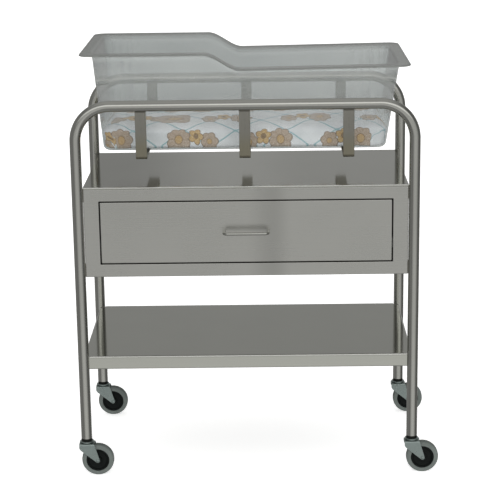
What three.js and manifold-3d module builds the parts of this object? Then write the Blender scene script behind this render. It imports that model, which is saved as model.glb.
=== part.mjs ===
// Hospital bassinet trolley. Two bent-tube hoops on swivel casters carry a drawer cabinet, a lower shelf
// and three flat straps, which cradle a clear tub with its mattress.
// Millimetres, +Z up. The long side runs along X with the head end at -X, and the drawer opens towards -Y.

import * as THREE from 'three';
import { mergeVertices } from 'three/addons/utils/BufferGeometryUtils.js';
import Module from 'manifold-3d';

const wasm = await Module();
wasm.setup();

// Fits
const SEAT_GAP = 0.3; // between pieces that are welded, pressed in or resting on each other
const RUNNING_GAP = 0.5; // between pieces that slide or turn past each other

// Hoops: an inch tube bent into a front and a rear arch
const TUBE_DIAMETER = 25.4;
const TUBE_WALL = 1.65;
const LEG_SPAN_X = 773; // between leg centre lines
const LEG_SPAN_Y = 414;
const RAIL_HEIGHT = 888; // rail centre line above the floor
const HOOP_BEND = 80; // centre-line radius of each bend

// Cradle straps
const STRAP_WIDTH = 25.4;
const STRAP_THICKNESS = 4.8;
const STRAP_SPACING = 236; // middle strap to each outer one
const STRAP_DROP = 118.2; // rail centre line down to the strap's upper face
const STRAP_BEND = 8; // outside radius

// Cabinet
const SHEET = 1.5;
const DECK_BELOW_RAIL = 188; // rail centre line down to the cabinet's deck
const CABINET_HEIGHT = 212;
const STILE_WIDTH = 35.3;
const TOP_RAIL = 32.8;
const BOTTOM_RAIL = 30;

// Drawer
const DRAWER_GAP = 2.4; // dark line round the inset front
const FRONT_THICKNESS = 16;
const FRONT_RETURN = 25; // pan's rear edge turned in, where the box is welded on
const BOX_SHEET = 1.2;
const BOX_LIFT = 6; // opening's lower edge up to the box's bottom
const BOX_HEADROOM = 22; // box's top edge down from the opening's upper edge
const BOX_BACK_SPACE = 25; // box's back to the cabinet's back panel
const RUNNER_BAR_HEIGHT = 20;
const RUNNER_DEPTH = 12.7; // width of a slide across X
const RUNNER_LIFT = 26; // box's bottom up to the bar's lower face
const RUNNER_OVERRUN = 10; // channel's length past the box's back
const BRACKET_HEIGHT = 32;

// Drawer pull
const PULL_DIAMETER = 7;
const PULL_CENTRES = 101.6;
const PULL_REACH = 30; // drawer's face to the bar's centre line
const PULL_BEND = 9;
const PULL_ABOVE_MIDDLE = 2.4;
const SCREW_DIAMETER = 4;
const SCREW_HEAD_DIAMETER = 8;
const SCREW_HEAD_HEIGHT = 2.6;
const SCREW_BITE = 12; // depth of the thread in the pull's leg

// Lower shelf
const SHELF_HEIGHT = 295; // upper face above the floor
const SHELF_LIP = 31;
const SHELF_OVERHANG = 2.4; // front lip's face past the legs' centre plane
const SHELF_END_INSET = 0.7; // end lip's face inside the legs' centre plane

// Casters
const WHEEL_DIAMETER = 76.2;
const TYRE_WIDTH = 22;
const TYRE_DEPTH = 11; // tread to rim
const TYRE_ROUND = 3;
const HUB_BOSS_WIDTH = 24.6;
const HUB_BOSS_DIAMETER = 18;
const HUB_RIM_WIDTH = 19;
const HUB_DISH = 4.5; // hub's face set in from the rim's edge
const HUB_RIM_DEPTH = 4;
const AXLE_DIAMETER = 6;
const AXLE_HEAD_DIAMETER = 8;
const AXLE_HEAD_HEIGHT = 2;
const CASTER_TRAIL = 25.4; // swivel axis to axle
const FORK_SHEET = 2.3;
const FORK_BACK = 17.5; // swivel axis back to the fork's edge
const FORK_FRONT = 18; // swivel axis to the fork's edge on the axle's side
const FORK_SHOULDER_DROP = 9; // fork's top down to the middle of the round shoulder
const FORK_SHOULDER_RADIUS = 9;
const FORK_END_RADIUS = 5;
const FORK_CLEARANCE = 1.5; // tread to the fork's underside
const RACE_DIAMETER = 33;
const RACE_HEIGHT = 4.9;
const RACE_PLATE = 2; // disc over the race's neck
const RACE_NECK_DIAMETER = 27;
const RACE_CHAMFER = 1;
const KINGPIN_DIAMETER = 10;
const RIVET_DIAMETER = 15;
const RIVET_HEIGHT = 2;
const STEM_DIAMETER = 11.1;
const STEM_LENGTH = 36;
const STEM_CHAMFER = 1;
const COLLAR_HEIGHT = 5.5;
const SOCKET_DEPTH = 34; // plug's length inside the tube

// Tub
const TUB_WALL = 3.2;
const TUB_FLOOR_LENGTH = 657;
const TUB_OFFSET = -2.2; // tub's middle from the frame's, along X
const HEAD_WALL = 232.9; // floor's underside to the rim
const FOOT_WALL = 197.6;
const FOOT_RISE = 4.8; // climb of the foot rim from the step to its end
const HEAD_DRAFT = 17.5; // wall's lean from floor to rim
const FOOT_DRAFT = 28.5;
const SIDE_DRAFT = 38;
const HEAD_FLANGE = 26;
const FOOT_FLANGE = 23.5;
const SIDE_FLANGE = 34;
const RIM_INSET = 5; // rim's edge inside the rails' centre lines
const RIM_STEP_START = -90; // from the tub's middle, where the head rim begins to dip
const RIM_STEP_LENGTH = 84;
const RIM_CORNER = 28;
const RIM_EDGE = 1.2; // bevels of the flange's edge
const FLANGE_THICKNESS = 3.8;
const TUB_SHOULDER = 6; // bevel from wall to flange
const TUB_CORNER = 25; // upright corners, outside
const TUB_FILLET = 11; // floor to wall, outside

// Mattress
const MATTRESS_CLEARANCE = 1.5; // to the tub's wall at the floor
const MATTRESS_EDGE_HEIGHT = 45;
const MATTRESS_CROWN = 18;
const MATTRESS_ROUND = 12; // rolled upper edge
const MATTRESS_PULL_IN = 3; // middle of each side drawn in from the corners

// Facets
const TUBE_SIDES = 16;
const BEND_STEPS = 8;
const TURNED_SIDES = 12;
const WHEEL_SIDES = 24;
const FORK_ARC_STEPS = 4;
const CORNER_STEPS = 5;
const RIM_STEPS = 7;

// Derived places
const tubeRadius = TUBE_DIAMETER / 2;
const boreRadius = tubeRadius - TUBE_WALL;
const legX = LEG_SPAN_X / 2;
const legY = LEG_SPAN_Y / 2;
const wheelRadius = WHEEL_DIAMETER / 2;
const forkUnderside = WHEEL_DIAMETER + FORK_CLEARANCE;
const forkTop = forkUnderside + FORK_SHEET;
const raceBottom = forkTop + SEAT_GAP;
const raceTop = raceBottom + RACE_HEIGHT;
const collarBottom = raceTop + SEAT_GAP;
const collarTop = collarBottom + COLLAR_HEIGHT;
const tubeEnd = collarTop + SEAT_GAP;
const deck = RAIL_HEIGHT - DECK_BELOW_RAIL;
const cabinetBottom = deck - CABINET_HEIGHT;
const cabinetHalfX = legX - tubeRadius - SEAT_GAP;
const openingHalfX = cabinetHalfX - STILE_WIDTH;
const openingTop = deck - TOP_RAIL;
const openingBottom = cabinetBottom + BOTTOM_RAIL;
const frontBack = -legY + FRONT_THICKNESS; // drawer front's rear face
const boxBack = legY - SHEET - BOX_BACK_SPACE;
const boxBottom = openingBottom + BOX_LIFT;
const boxTop = openingTop - BOX_HEADROOM;
const boxHalfX = openingHalfX - RUNNER_DEPTH - RUNNING_GAP;
const barBottom = boxBottom + RUNNER_LIFT;
const barTop = barBottom + RUNNER_BAR_HEIGHT;
const pullHeight = (openingTop + openingBottom) / 2 + PULL_ABOVE_MIDDLE;
const strapTop = RAIL_HEIGHT - STRAP_DROP;
const tubFloor = strapTop + SEAT_GAP;
const tubHalfX = TUB_FLOOR_LENGTH / 2;
const rimHalfY = legY - RIM_INSET;
const wallTopHalfY = rimHalfY - SIDE_FLANGE;
const tubHalfY = wallTopHalfY - SIDE_DRAFT;
const mattressBottom = tubFloor + TUB_WALL + SEAT_GAP;
const mattressHalfX = tubHalfX - TUB_WALL - MATTRESS_CLEARANCE;
const mattressHalfY = tubHalfY - TUB_WALL - MATTRESS_CLEARANCE;
const mattressCorner = TUB_CORNER - TUB_WALL;
const mattressLowerRound = TUB_FILLET - TUB_WALL;

// Materials
const finish = (color, roughness, metalness) => (
  new THREE.MeshStandardMaterial({ color, roughness, metalness })
);
const brushedSteel = finish(0x93948f, 0.38, 1);
const satinTube = finish(0x8f8f89, 0.28, 1);
const strapSteel = finish(0x85867f, 0.4, 1);
const zincPlate = finish(0x7e8c87, 0.45, 0.9);
const galvanised = finish(0x9a9d9b, 0.5, 0.9);
const blackPlastic = finish(0x141816, 0.5, 0);
const greyRubber = finish(0x59605d, 0.75, 0);
const clearPlastic = new THREE.MeshStandardMaterial({
  color: 0xc4cccf,
  roughness: 0.08,
  metalness: 0,
  transparent: true,
  opacity: 0.35,
});
const mattressCover = finish(0xdfe4e6, 0.6, 0);

const bassinet = new THREE.Group();

function addPiece(parent, name, geometry, material) {
  const mesh = new THREE.Mesh(geometry, material);
  mesh.name = name;
  parent.add(mesh);
}

// Joins and cuts

// A closed mesh as a solid, with its shared corners merged.
function toSolid(geometry) {
  const bare = geometry.clone();
  bare.deleteAttribute('normal');
  bare.deleteAttribute('uv');
  const merged = mergeVertices(bare);
  const mesh = new wasm.Mesh({
    numProp: 3,
    vertProperties: new Float32Array(merged.attributes.position.array),
    triVerts: new Uint32Array(merged.index.array),
  });
  return new wasm.Manifold(mesh);
}

function toGeometry(solid) {
  const mesh = solid.getMesh();
  const geometry = new THREE.BufferGeometry();
  geometry.setAttribute('position', new THREE.BufferAttribute(mesh.vertProperties, 3));
  geometry.setIndex(new THREE.BufferAttribute(mesh.triVerts, 1));
  geometry.computeVertexNormals();
  return geometry;
}

function join(...geometries) {
  return toGeometry(geometries.map(toSolid).reduce((whole, piece) => whole.add(piece)));
}

function cut(body, ...tools) {
  return toGeometry(tools.map(toSolid).reduce((rest, tool) => rest.subtract(tool), toSolid(body)));
}

// Shapes that several pieces share

// Box between a low and a high value on each axis.
function block([x0, x1], [y0, y1], [z0, z1]) {
  const box = new THREE.BoxGeometry(x1 - x0, y1 - y0, z1 - z0);
  return box.translate((x0 + x1) / 2, (y0 + y1) / 2, (z0 + z1) / 2);
}

// Low and high value of a piece that lies from a to b away from the middle plane, on the given side.
function onSide(side, a, b) {
  return side > 0 ? [a, b] : [-b, -a];
}

// Profile of [radius, height] points turned about Y.
function turned(profile, sides, start = 0) {
  return new THREE.LatheGeometry(profile.map(([r, h]) => new THREE.Vector2(r, h)), sides, start);
}

// The same, turned about Z.
function turnedUpright(profile, sides) {
  return turned(profile, sides).rotateX(Math.PI / 2);
}

// Round bar along Y between two depths, at a given X and height.
function barAlongY(diameter, [y0, y1], x, z) {
  const bar = new THREE.CylinderGeometry(diameter / 2, diameter / 2, y1 - y0, TURNED_SIDES);
  return bar.translate(x, (y0 + y1) / 2, z);
}

function circleShape(radius, x = 0, y = 0) {
  return new THREE.Shape().absarc(x, y, radius, 0, 2 * Math.PI, false);
}

// Straight runs between corners, joined by arcs of one radius, with a station at each step of each arc.
class BentPath extends THREE.Curve {
  constructor(corners, bend) {
    super();
    const heading = (i) => corners[i + 1].clone().sub(corners[i]).normalize();
    this.stations = [{ point: corners[0], tangent: heading(0) }];
    for (let i = 1; i < corners.length - 1; i += 1) {
      this.addBend(corners[i], heading(i - 1), heading(i), bend);
    }
    this.stations.push({ point: corners.at(-1), tangent: heading(corners.length - 2) });
  }

  addBend(corner, into, out, bend) {
    const turn = into.angleTo(out);
    const inward = out.clone().addScaledVector(into, -Math.cos(turn)).normalize();
    const start = corner.clone().addScaledVector(into, -bend * Math.tan(turn / 2));
    for (let k = 0; k <= BEND_STEPS; k += 1) {
      const angle = (turn * k) / BEND_STEPS;
      const point = start.clone().addScaledVector(into, bend * Math.sin(angle));
      point.addScaledVector(inward, bend * (1 - Math.cos(angle)));
      const tangent = into.clone().multiplyScalar(Math.cos(angle)).addScaledVector(inward, Math.sin(angle));
      this.stations.push({ point, tangent });
    }
  }

  get steps() {
    return this.stations.length - 1;
  }

  getPointAt(u, target = new THREE.Vector3()) {
    return target.copy(this.stations[Math.round(u * this.steps)].point);
  }

  getTangentAt(u, target = new THREE.Vector3()) {
    return target.copy(this.stations[Math.round(u * this.steps)].tangent);
  }
}

function bentBar(shape, corners, bend) {
  const path = new BentPath(corners, bend);
  return new THREE.ExtrudeGeometry(shape, {
    steps: path.steps,
    curveSegments: TUBE_SIDES / 2,
    extrudePath: path,
  });
}

// Closed body through rings of equal count, anticlockwise from above, with a fan over the first and the last.
function loft(rings) {
  const count = rings[0].length;
  const points = rings.flat();
  const index = [];
  const fan = (ring, first, upward) => {
    const centre = ring.reduce((sum, p) => sum.add(p), new THREE.Vector3()).divideScalar(count);
    const hub = points.push(centre) - 1;
    for (let i = 0; i < count; i += 1) {
      const edge = [first + i, first + ((i + 1) % count)];
      index.push(hub, ...(upward ? edge : edge.reverse()));
    }
  };
  for (let row = 0; row < rings.length - 1; row += 1) {
    for (let i = 0; i < count; i += 1) {
      const a = row * count + i;
      const b = row * count + ((i + 1) % count);
      index.push(a, b, b + count, a, b + count, a + count);
    }
  }
  fan(rings[0], 0, false);
  fan(rings.at(-1), (rings.length - 1) * count, true);
  const geometry = new THREE.BufferGeometry().setFromPoints(points);
  geometry.setIndex(index);
  geometry.computeVertexNormals();
  return geometry;
}

// Rounded rectangle, anticlockwise from above, with extra stations on its long sides (X) and its ends (Y).
function roundedOutline({ low, high, halfY, corner, sideStations, endStations }) {
  const points = [];
  const quarter = (x, y, quadrant) => {
    for (let k = 0; k <= CORNER_STEPS; k += 1) {
      const angle = (Math.PI / 2) * (quadrant + k / CORNER_STEPS);
      points.push(new THREE.Vector2(x + corner * Math.cos(angle), y + corner * Math.sin(angle)));
    }
  };
  sideStations.forEach((x) => points.push(new THREE.Vector2(x, -halfY)));
  quarter(high - corner, corner - halfY, -1);
  endStations.forEach((y) => points.push(new THREE.Vector2(high, y)));
  quarter(high - corner, halfY - corner, 0);
  sideStations.toReversed().forEach((x) => points.push(new THREE.Vector2(x, halfY)));
  quarter(low + corner, halfY - corner, 1);
  endStations.toReversed().forEach((y) => points.push(new THREE.Vector2(low, y)));
  quarter(low + corner, corner - halfY, 2);
  return points;
}

// Hoops

function makeHoop(y) {
  const section = circleShape(tubeRadius);
  section.holes.push(circleShape(boreRadius));
  const corners = [
    new THREE.Vector3(-legX, y, tubeEnd),
    new THREE.Vector3(-legX, y, RAIL_HEIGHT),
    new THREE.Vector3(legX, y, RAIL_HEIGHT),
    new THREE.Vector3(legX, y, tubeEnd),
  ];
  return bentBar(section, corners, HOOP_BEND);
}

addPiece(bassinet, 'front_hoop', makeHoop(-legY), satinTube);
addPiece(bassinet, 'rear_hoop', makeHoop(legY), satinTube);

// Cradle straps: a U of flat bar hung between the undersides of the rails

function makeStrap(x) {
  const outside = legY + STRAP_THICKNESS / 2;
  const inside = outside - STRAP_THICKNESS;
  const top = RAIL_HEIGHT - tubeRadius - SEAT_GAP;
  const bottom = strapTop - STRAP_THICKNESS;
  const innerBend = STRAP_BEND - STRAP_THICKNESS;
  const centre = outside - STRAP_BEND;
  const lower = bottom + STRAP_BEND;
  const outline = new THREE.Shape();
  outline.moveTo(-inside, top);
  outline.lineTo(-outside, top);
  outline.absarc(-centre, lower, STRAP_BEND, Math.PI, 1.5 * Math.PI, false);
  outline.absarc(centre, lower, STRAP_BEND, -0.5 * Math.PI, 0, false);
  outline.lineTo(outside, top);
  outline.lineTo(inside, top);
  outline.absarc(centre, lower, innerBend, 0, -0.5 * Math.PI, true);
  outline.absarc(-centre, lower, innerBend, 1.5 * Math.PI, Math.PI, true);
  const bar = new THREE.ExtrudeGeometry(outline, {
    depth: STRAP_WIDTH,
    bevelEnabled: false,
    curveSegments: CORNER_STEPS,
  });
  const acrossX = new THREE.Matrix4().makeBasis(
    new THREE.Vector3(0, 1, 0),
    new THREE.Vector3(0, 0, 1),
    new THREE.Vector3(1, 0, 0),
  );
  return bar.applyMatrix4(acrossX).translate(x - STRAP_WIDTH / 2, 0, 0);
}

addPiece(bassinet, 'cradle_strap_left', makeStrap(-STRAP_SPACING), strapSteel);
addPiece(bassinet, 'cradle_strap_middle', makeStrap(0), strapSteel);
addPiece(bassinet, 'cradle_strap_right', makeStrap(STRAP_SPACING), strapSteel);

// Cabinet: deck, side, back and bottom sheets behind a face frame

const underDeck = deck - SHEET - SEAT_GAP;
const aboveBottom = cabinetBottom + SHEET + SEAT_GAP;
const behindFrame = -legY + SHEET + SEAT_GAP;
const beforeBack = legY - SHEET - SEAT_GAP;
const sideInside = cabinetHalfX - SHEET;

const cabinetWidth = [-cabinetHalfX, cabinetHalfX];
const frameOutside = block(cabinetWidth, [-legY, -legY + SHEET], [cabinetBottom, underDeck]);
const frameOpening = block(
  [-openingHalfX, openingHalfX],
  [-legY - SHEET, -legY + 2 * SHEET],
  [openingBottom, openingTop],
);
addPiece(bassinet, 'cabinet_top', block(cabinetWidth, [-legY, legY], [deck - SHEET, deck]), brushedSteel);
addPiece(bassinet, 'cabinet_face_frame', cut(frameOutside, frameOpening), brushedSteel);
addPiece(
  bassinet,
  'cabinet_back',
  block(cabinetWidth, [legY - SHEET, legY], [cabinetBottom, underDeck]),
  brushedSteel,
);
addPiece(
  bassinet,
  'cabinet_bottom',
  block(cabinetWidth, [behindFrame, beforeBack], [cabinetBottom, cabinetBottom + SHEET]),
  brushedSteel,
);

const SIDES = [
  { label: 'left', side: -1 },
  { label: 'right', side: 1 },
];
const channelOutside = openingHalfX;
const channelInside = openingHalfX - RUNNER_DEPTH;
const channelFront = frontBack + RUNNING_GAP;
const channelBack = boxBack + RUNNER_OVERRUN;
const channelFloor = barBottom - SEAT_GAP;
const channelRoof = barTop + RUNNING_GAP;
const runnerMiddle = (barBottom + barTop) / 2;
const bracketInside = channelOutside + SEAT_GAP;
const bracketOutside = sideInside - SEAT_GAP;

for (const { label, side } of SIDES) {
  const panel = block(
    onSide(side, sideInside, cabinetHalfX),
    [behindFrame, beforeBack],
    [aboveBottom, underDeck],
  );
  addPiece(bassinet, `cabinet_side_${label}`, panel, brushedSteel);

  // Channel bracket that brings the slide in from the side panel to the drawer's opening.
  const bracketHeight = [runnerMiddle - BRACKET_HEIGHT / 2, runnerMiddle + BRACKET_HEIGHT / 2];
  const bracket = block(
    onSide(side, bracketInside, bracketOutside),
    [behindFrame, beforeBack],
    bracketHeight,
  );
  const bracketHollow = block(
    onSide(side, bracketInside + SHEET, bracketOutside + SHEET),
    [behindFrame - SHEET, beforeBack + SHEET],
    [bracketHeight[0] + SHEET, bracketHeight[1] - SHEET],
  );
  addPiece(bassinet, `runner_bracket_${label}`, cut(bracket, bracketHollow), galvanised);

  // Fixed slide channel, open towards the drawer.
  const channel = block(
    onSide(side, channelInside, channelOutside),
    [channelFront, channelBack],
    [channelFloor - SHEET, channelRoof + SHEET],
  );
  const channelHollow = block(
    onSide(side, channelInside - SHEET, channelOutside - SHEET),
    [channelFront - SHEET, channelBack + SHEET],
    [channelFloor, channelRoof],
  );
  addPiece(bassinet, `drawer_channel_${label}`, cut(channel, channelHollow), galvanised);

  // Slide bar on the drawer's side.
  const bar = block(
    onSide(side, boxHalfX + SEAT_GAP, channelOutside - SHEET - RUNNING_GAP),
    [frontBack + SEAT_GAP, boxBack],
    [barBottom, barTop],
  );
  addPiece(bassinet, `drawer_slide_bar_${label}`, bar, galvanised);
}

// Drawer

const pullX = PULL_CENTRES / 2;
const screwHoleDiameter = SCREW_DIAMETER + 2 * SEAT_GAP;
const boxFront = frontBack + SEAT_GAP;
const screwHeadFace = -legY + SHEET + SEAT_GAP;
const pullFoot = -legY - SEAT_GAP;
const screwTip = pullFoot - SCREW_BITE;

// Clearance hole for each of the pull's screws.
function screwHoles(depths) {
  return [-pullX, pullX].map((x) => barAlongY(screwHoleDiameter, depths, x, pullHeight));
}

// Block inside the front's outline, drawn in from its edges.
function withinFront(inset, depths) {
  const halfX = openingHalfX - DRAWER_GAP - inset;
  const fromOpening = DRAWER_GAP + inset;
  return block([-halfX, halfX], depths, [openingBottom + fromOpening, openingTop - fromOpening]);
}

// Folded pan, hollow behind its face sheet and open at the back between its returns.
const frontPan = cut(
  withinFront(0, [-legY, frontBack]),
  withinFront(SHEET, [-legY + SHEET, frontBack - SHEET]),
  withinFront(FRONT_RETURN, [frontBack - 2 * SHEET, frontBack + SHEET]),
  ...screwHoles([-legY - SHEET, -legY + 2 * SHEET]),
);
addPiece(bassinet, 'drawer_front', frontPan, brushedSteel);

const boxOutside = block([-boxHalfX, boxHalfX], [boxFront, boxBack], [boxBottom, boxTop]);
const boxInside = block(
  [-boxHalfX + BOX_SHEET, boxHalfX - BOX_SHEET],
  [boxFront + BOX_SHEET, boxBack - BOX_SHEET],
  [boxBottom + BOX_SHEET, boxTop + BOX_SHEET],
);
addPiece(bassinet, 'drawer_box', cut(boxOutside, boxInside), brushedSteel);

const pullCorners = [
  new THREE.Vector3(-pullX, pullFoot, pullHeight),
  new THREE.Vector3(-pullX, -legY - PULL_REACH, pullHeight),
  new THREE.Vector3(pullX, -legY - PULL_REACH, pullHeight),
  new THREE.Vector3(pullX, pullFoot, pullHeight),
];
const pullWire = bentBar(circleShape(PULL_DIAMETER / 2), pullCorners, PULL_BEND);
const pullBores = screwHoles([screwTip - SEAT_GAP, pullFoot + SHEET]);
addPiece(bassinet, 'drawer_pull', cut(pullWire, ...pullBores), satinTube);

const screwRadius = SCREW_DIAMETER / 2;
const screwHeadRadius = SCREW_HEAD_DIAMETER / 2;
const screwProfile = [
  [0, screwTip],
  [screwRadius, screwTip],
  [screwRadius, screwHeadFace],
  [screwHeadRadius, screwHeadFace],
  [screwHeadRadius, screwHeadFace + SCREW_HEAD_HEIGHT / 2],
  [screwRadius, screwHeadFace + SCREW_HEAD_HEIGHT],
  [0, screwHeadFace + SCREW_HEAD_HEIGHT],
];
for (const { label, side } of SIDES) {
  const screw = turned(screwProfile, TURNED_SIDES).translate(side * pullX, 0, pullHeight);
  addPiece(bassinet, `pull_screw_${label}`, screw, galvanised);
}

// Lower shelf: a tray with its lip turned down all round and its corners cut round the legs

const CORNERS = [
  { label: 'front_left', x: -legX, y: -legY },
  { label: 'front_right', x: legX, y: -legY },
  { label: 'rear_left', x: -legX, y: legY },
  { label: 'rear_right', x: legX, y: legY },
];
const shelfHalfX = legX - SHELF_END_INSET;
const shelfHalfY = legY + SHELF_OVERHANG;
const shelfBottom = SHELF_HEIGHT - SHELF_LIP;
const legBiteRadius = (tubeRadius + SEAT_GAP) / Math.cos(Math.PI / (2 * TUBE_SIDES));
const shelfOutside = block(
  [-shelfHalfX, shelfHalfX],
  [-shelfHalfY, shelfHalfY],
  [shelfBottom, SHELF_HEIGHT],
);
const shelfHollow = block(
  [-shelfHalfX + SHEET, shelfHalfX - SHEET],
  [-shelfHalfY + SHEET, shelfHalfY - SHEET],
  [shelfBottom - SHEET, SHELF_HEIGHT - SHEET],
);
const legBites = CORNERS.map(({ x, y }) => (
  new THREE.CylinderGeometry(legBiteRadius, legBiteRadius, 2 * SHELF_HEIGHT, 2 * TUBE_SIDES)
    .rotateX(Math.PI / 2)
    .translate(x, y, SHELF_HEIGHT)
));
addPiece(bassinet, 'lower_shelf', cut(shelfOutside, shelfHollow, ...legBites), brushedSteel);

// Casters

const forkInside = HUB_BOSS_WIDTH / 2 + RUNNING_GAP;
const forkOutside = forkInside + FORK_SHEET;
const stemRadius = STEM_DIAMETER / 2;
const kingpinRadius = KINGPIN_DIAMETER / 2;
const axleRadius = AXLE_DIAMETER / 2;
const rimRadius = wheelRadius - TYRE_DEPTH;

// Plug that holds the stem inside the tube, with a collar under the tube's end.
function makeSocket() {
  const plugRadius = boreRadius - SEAT_GAP;
  const holeRadius = stemRadius + SEAT_GAP;
  const plugTop = tubeEnd + SOCKET_DEPTH;
  return turnedUpright(
    [
      [holeRadius, collarBottom],
      [tubeRadius, collarBottom],
      [tubeRadius, collarTop],
      [plugRadius, collarTop],
      [plugRadius, plugTop],
      [holeRadius, plugTop],
      [holeRadius, collarBottom],
    ],
    TURNED_SIDES,
  );
}

// Stem, upper race and riveted kingpin in one piece.
function makeStem() {
  const rivetTop = forkUnderside - SEAT_GAP;
  const stemTop = raceTop + STEM_LENGTH;
  return turnedUpright(
    [
      [0, rivetTop - RIVET_HEIGHT],
      [RIVET_DIAMETER / 2, rivetTop - RIVET_HEIGHT],
      [RIVET_DIAMETER / 2, rivetTop],
      [kingpinRadius, rivetTop],
      [kingpinRadius, raceBottom],
      [RACE_NECK_DIAMETER / 2, raceBottom],
      [RACE_NECK_DIAMETER / 2, raceTop - RACE_PLATE],
      [RACE_DIAMETER / 2, raceTop - RACE_PLATE],
      [RACE_DIAMETER / 2, raceTop - RACE_CHAMFER],
      [RACE_DIAMETER / 2 - RACE_CHAMFER, raceTop],
      [stemRadius, raceTop],
      [stemRadius, stemTop - STEM_CHAMFER],
      [stemRadius - STEM_CHAMFER, stemTop],
      [0, stemTop],
    ],
    TURNED_SIDES,
  );
}

// Faceted hole in the fork's sheet whose flats keep the seat gap round a pin.
function pinHole(pinRadius, x = 0, y = 0) {
  const sides = 2 * FORK_ARC_STEPS;
  return circleShape((pinRadius + SEAT_GAP) / Math.cos(Math.PI / sides), x, y);
}

// Outline of a fork arm: round shoulder under the crown, tapering to a round end about the axle.
function forkArmShape() {
  const shoulder = new THREE.Vector2(FORK_SHOULDER_RADIUS - FORK_BACK, forkTop - FORK_SHOULDER_DROP);
  const axle = new THREE.Vector2(CASTER_TRAIL, wheelRadius);
  const run = axle.clone().sub(shoulder);
  const lower = run.angle() - Math.acos((FORK_SHOULDER_RADIUS - FORK_END_RADIUS) / run.length());
  const edge = new THREE.Vector2(FORK_FRONT, forkTop).sub(axle);
  const upper = edge.angle() - Math.acos(FORK_END_RADIUS / edge.length());
  const shape = new THREE.Shape();
  shape.moveTo(-FORK_BACK, forkTop);
  shape.lineTo(FORK_FRONT, forkTop);
  shape.absarc(axle.x, axle.y, FORK_END_RADIUS, upper, lower, true);
  shape.absarc(shoulder.x, shoulder.y, FORK_SHOULDER_RADIUS, lower, Math.PI, true);
  shape.holes.push(pinHole(axleRadius, axle.x, axle.y));
  return shape;
}

function makeFork() {
  const plate = (shape, depth) =>
    new THREE.ExtrudeGeometry(shape, { depth, bevelEnabled: false, curveSegments: FORK_ARC_STEPS });
  const arm = (y) => plate(forkArmShape(), FORK_SHEET).rotateX(Math.PI / 2).translate(0, y, 0);
  const crownShape = new THREE.Shape();
  crownShape.moveTo(-FORK_BACK, -forkOutside);
  crownShape.lineTo(FORK_FRONT, -forkOutside);
  crownShape.lineTo(FORK_FRONT, forkOutside);
  crownShape.lineTo(-FORK_BACK, forkOutside);
  crownShape.holes.push(pinHole(kingpinRadius));
  const crown = plate(crownShape, FORK_SHEET).translate(0, 0, forkUnderside);
  return join(crown, arm(-forkInside), arm(forkOutside));
}

// Axle with a riveted head outside each fork arm.
function makeAxle() {
  const seat = forkOutside + SEAT_GAP;
  const end = seat + AXLE_HEAD_HEIGHT;
  const headRadius = AXLE_HEAD_DIAMETER / 2;
  return turned(
    [
      [0, -end],
      [headRadius, -end],
      [headRadius, -seat],
      [axleRadius, -seat],
      [axleRadius, seat],
      [headRadius, seat],
      [headRadius, end],
      [0, end],
    ],
    TURNED_SIDES,
  );
}

// Dished hub: boss, web and rim round the axle.
function makeHub() {
  const hole = axleRadius + SEAT_GAP;
  const boss = HUB_BOSS_DIAMETER / 2;
  const face = HUB_RIM_WIDTH / 2 - HUB_DISH;
  const rimInside = rimRadius - HUB_RIM_DEPTH;
  const half = [
    [hole, HUB_BOSS_WIDTH / 2],
    [boss, HUB_BOSS_WIDTH / 2],
    [boss, face],
    [rimInside, face],
    [rimInside, HUB_RIM_WIDTH / 2],
    [rimRadius, HUB_RIM_WIDTH / 2],
  ];
  const mirrored = half.map(([r, h]) => [r, -h]);
  return turned([...mirrored, ...half.toReversed(), mirrored[0]], WHEEL_SIDES, Math.PI / WHEEL_SIDES);
}

// Tyre whose flats, one of them underneath, lie at the tread radius.
function makeTyre() {
  const tread = wheelRadius / Math.cos(Math.PI / WHEEL_SIDES);
  const seat = rimRadius + SEAT_GAP;
  const half = [
    [seat, TYRE_WIDTH / 2],
    [tread - TYRE_ROUND, TYRE_WIDTH / 2],
    [tread, TYRE_WIDTH / 2 - TYRE_ROUND],
  ];
  const mirrored = half.map(([r, h]) => [r, -h]);
  return turned([...mirrored, ...half.toReversed(), mirrored[0]], WHEEL_SIDES, Math.PI / WHEEL_SIDES);
}

for (const { label, x, y } of CORNERS) {
  const caster = new THREE.Group();
  caster.position.set(x, y, 0);
  addPiece(caster, `caster_socket_${label}`, makeSocket(), blackPlastic);
  addPiece(caster, `caster_stem_${label}`, makeStem(), zincPlate);
  addPiece(caster, `caster_fork_${label}`, makeFork(), zincPlate);
  const wheel = new THREE.Group();
  wheel.position.set(CASTER_TRAIL, 0, wheelRadius);
  addPiece(wheel, `caster_axle_${label}`, makeAxle(), zincPlate);
  addPiece(wheel, `caster_hub_${label}`, makeHub(), blackPlastic);
  addPiece(wheel, `caster_tyre_${label}`, makeTyre(), greyRubber);
  caster.add(wheel);
  bassinet.add(caster);
}

// Tub: leaning walls under a flange whose height steps down from the head to the foot

const headRim = tubFloor + HEAD_WALL;
const footRim = tubFloor + FOOT_WALL;
const rimStepEnd = RIM_STEP_START + RIM_STEP_LENGTH;
const rimHeadX = -tubHalfX - HEAD_DRAFT - HEAD_FLANGE;
const rimFootX = tubHalfX + FOOT_DRAFT + FOOT_FLANGE;
const rimStations = Array.from({ length: RIM_STEPS }, (_, k) => (
  RIM_STEP_START + (RIM_STEP_LENGTH * k) / (RIM_STEPS - 1)
));

function rimHeight(x) {
  const dip = THREE.MathUtils.smoothstep(x, RIM_STEP_START, rimStepEnd);
  const climb = (FOOT_RISE * Math.max(x - rimStepEnd, 0)) / (rimFootX - rimStepEnd);
  return THREE.MathUtils.lerp(headRim, footRim, dip) + climb;
}

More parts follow.
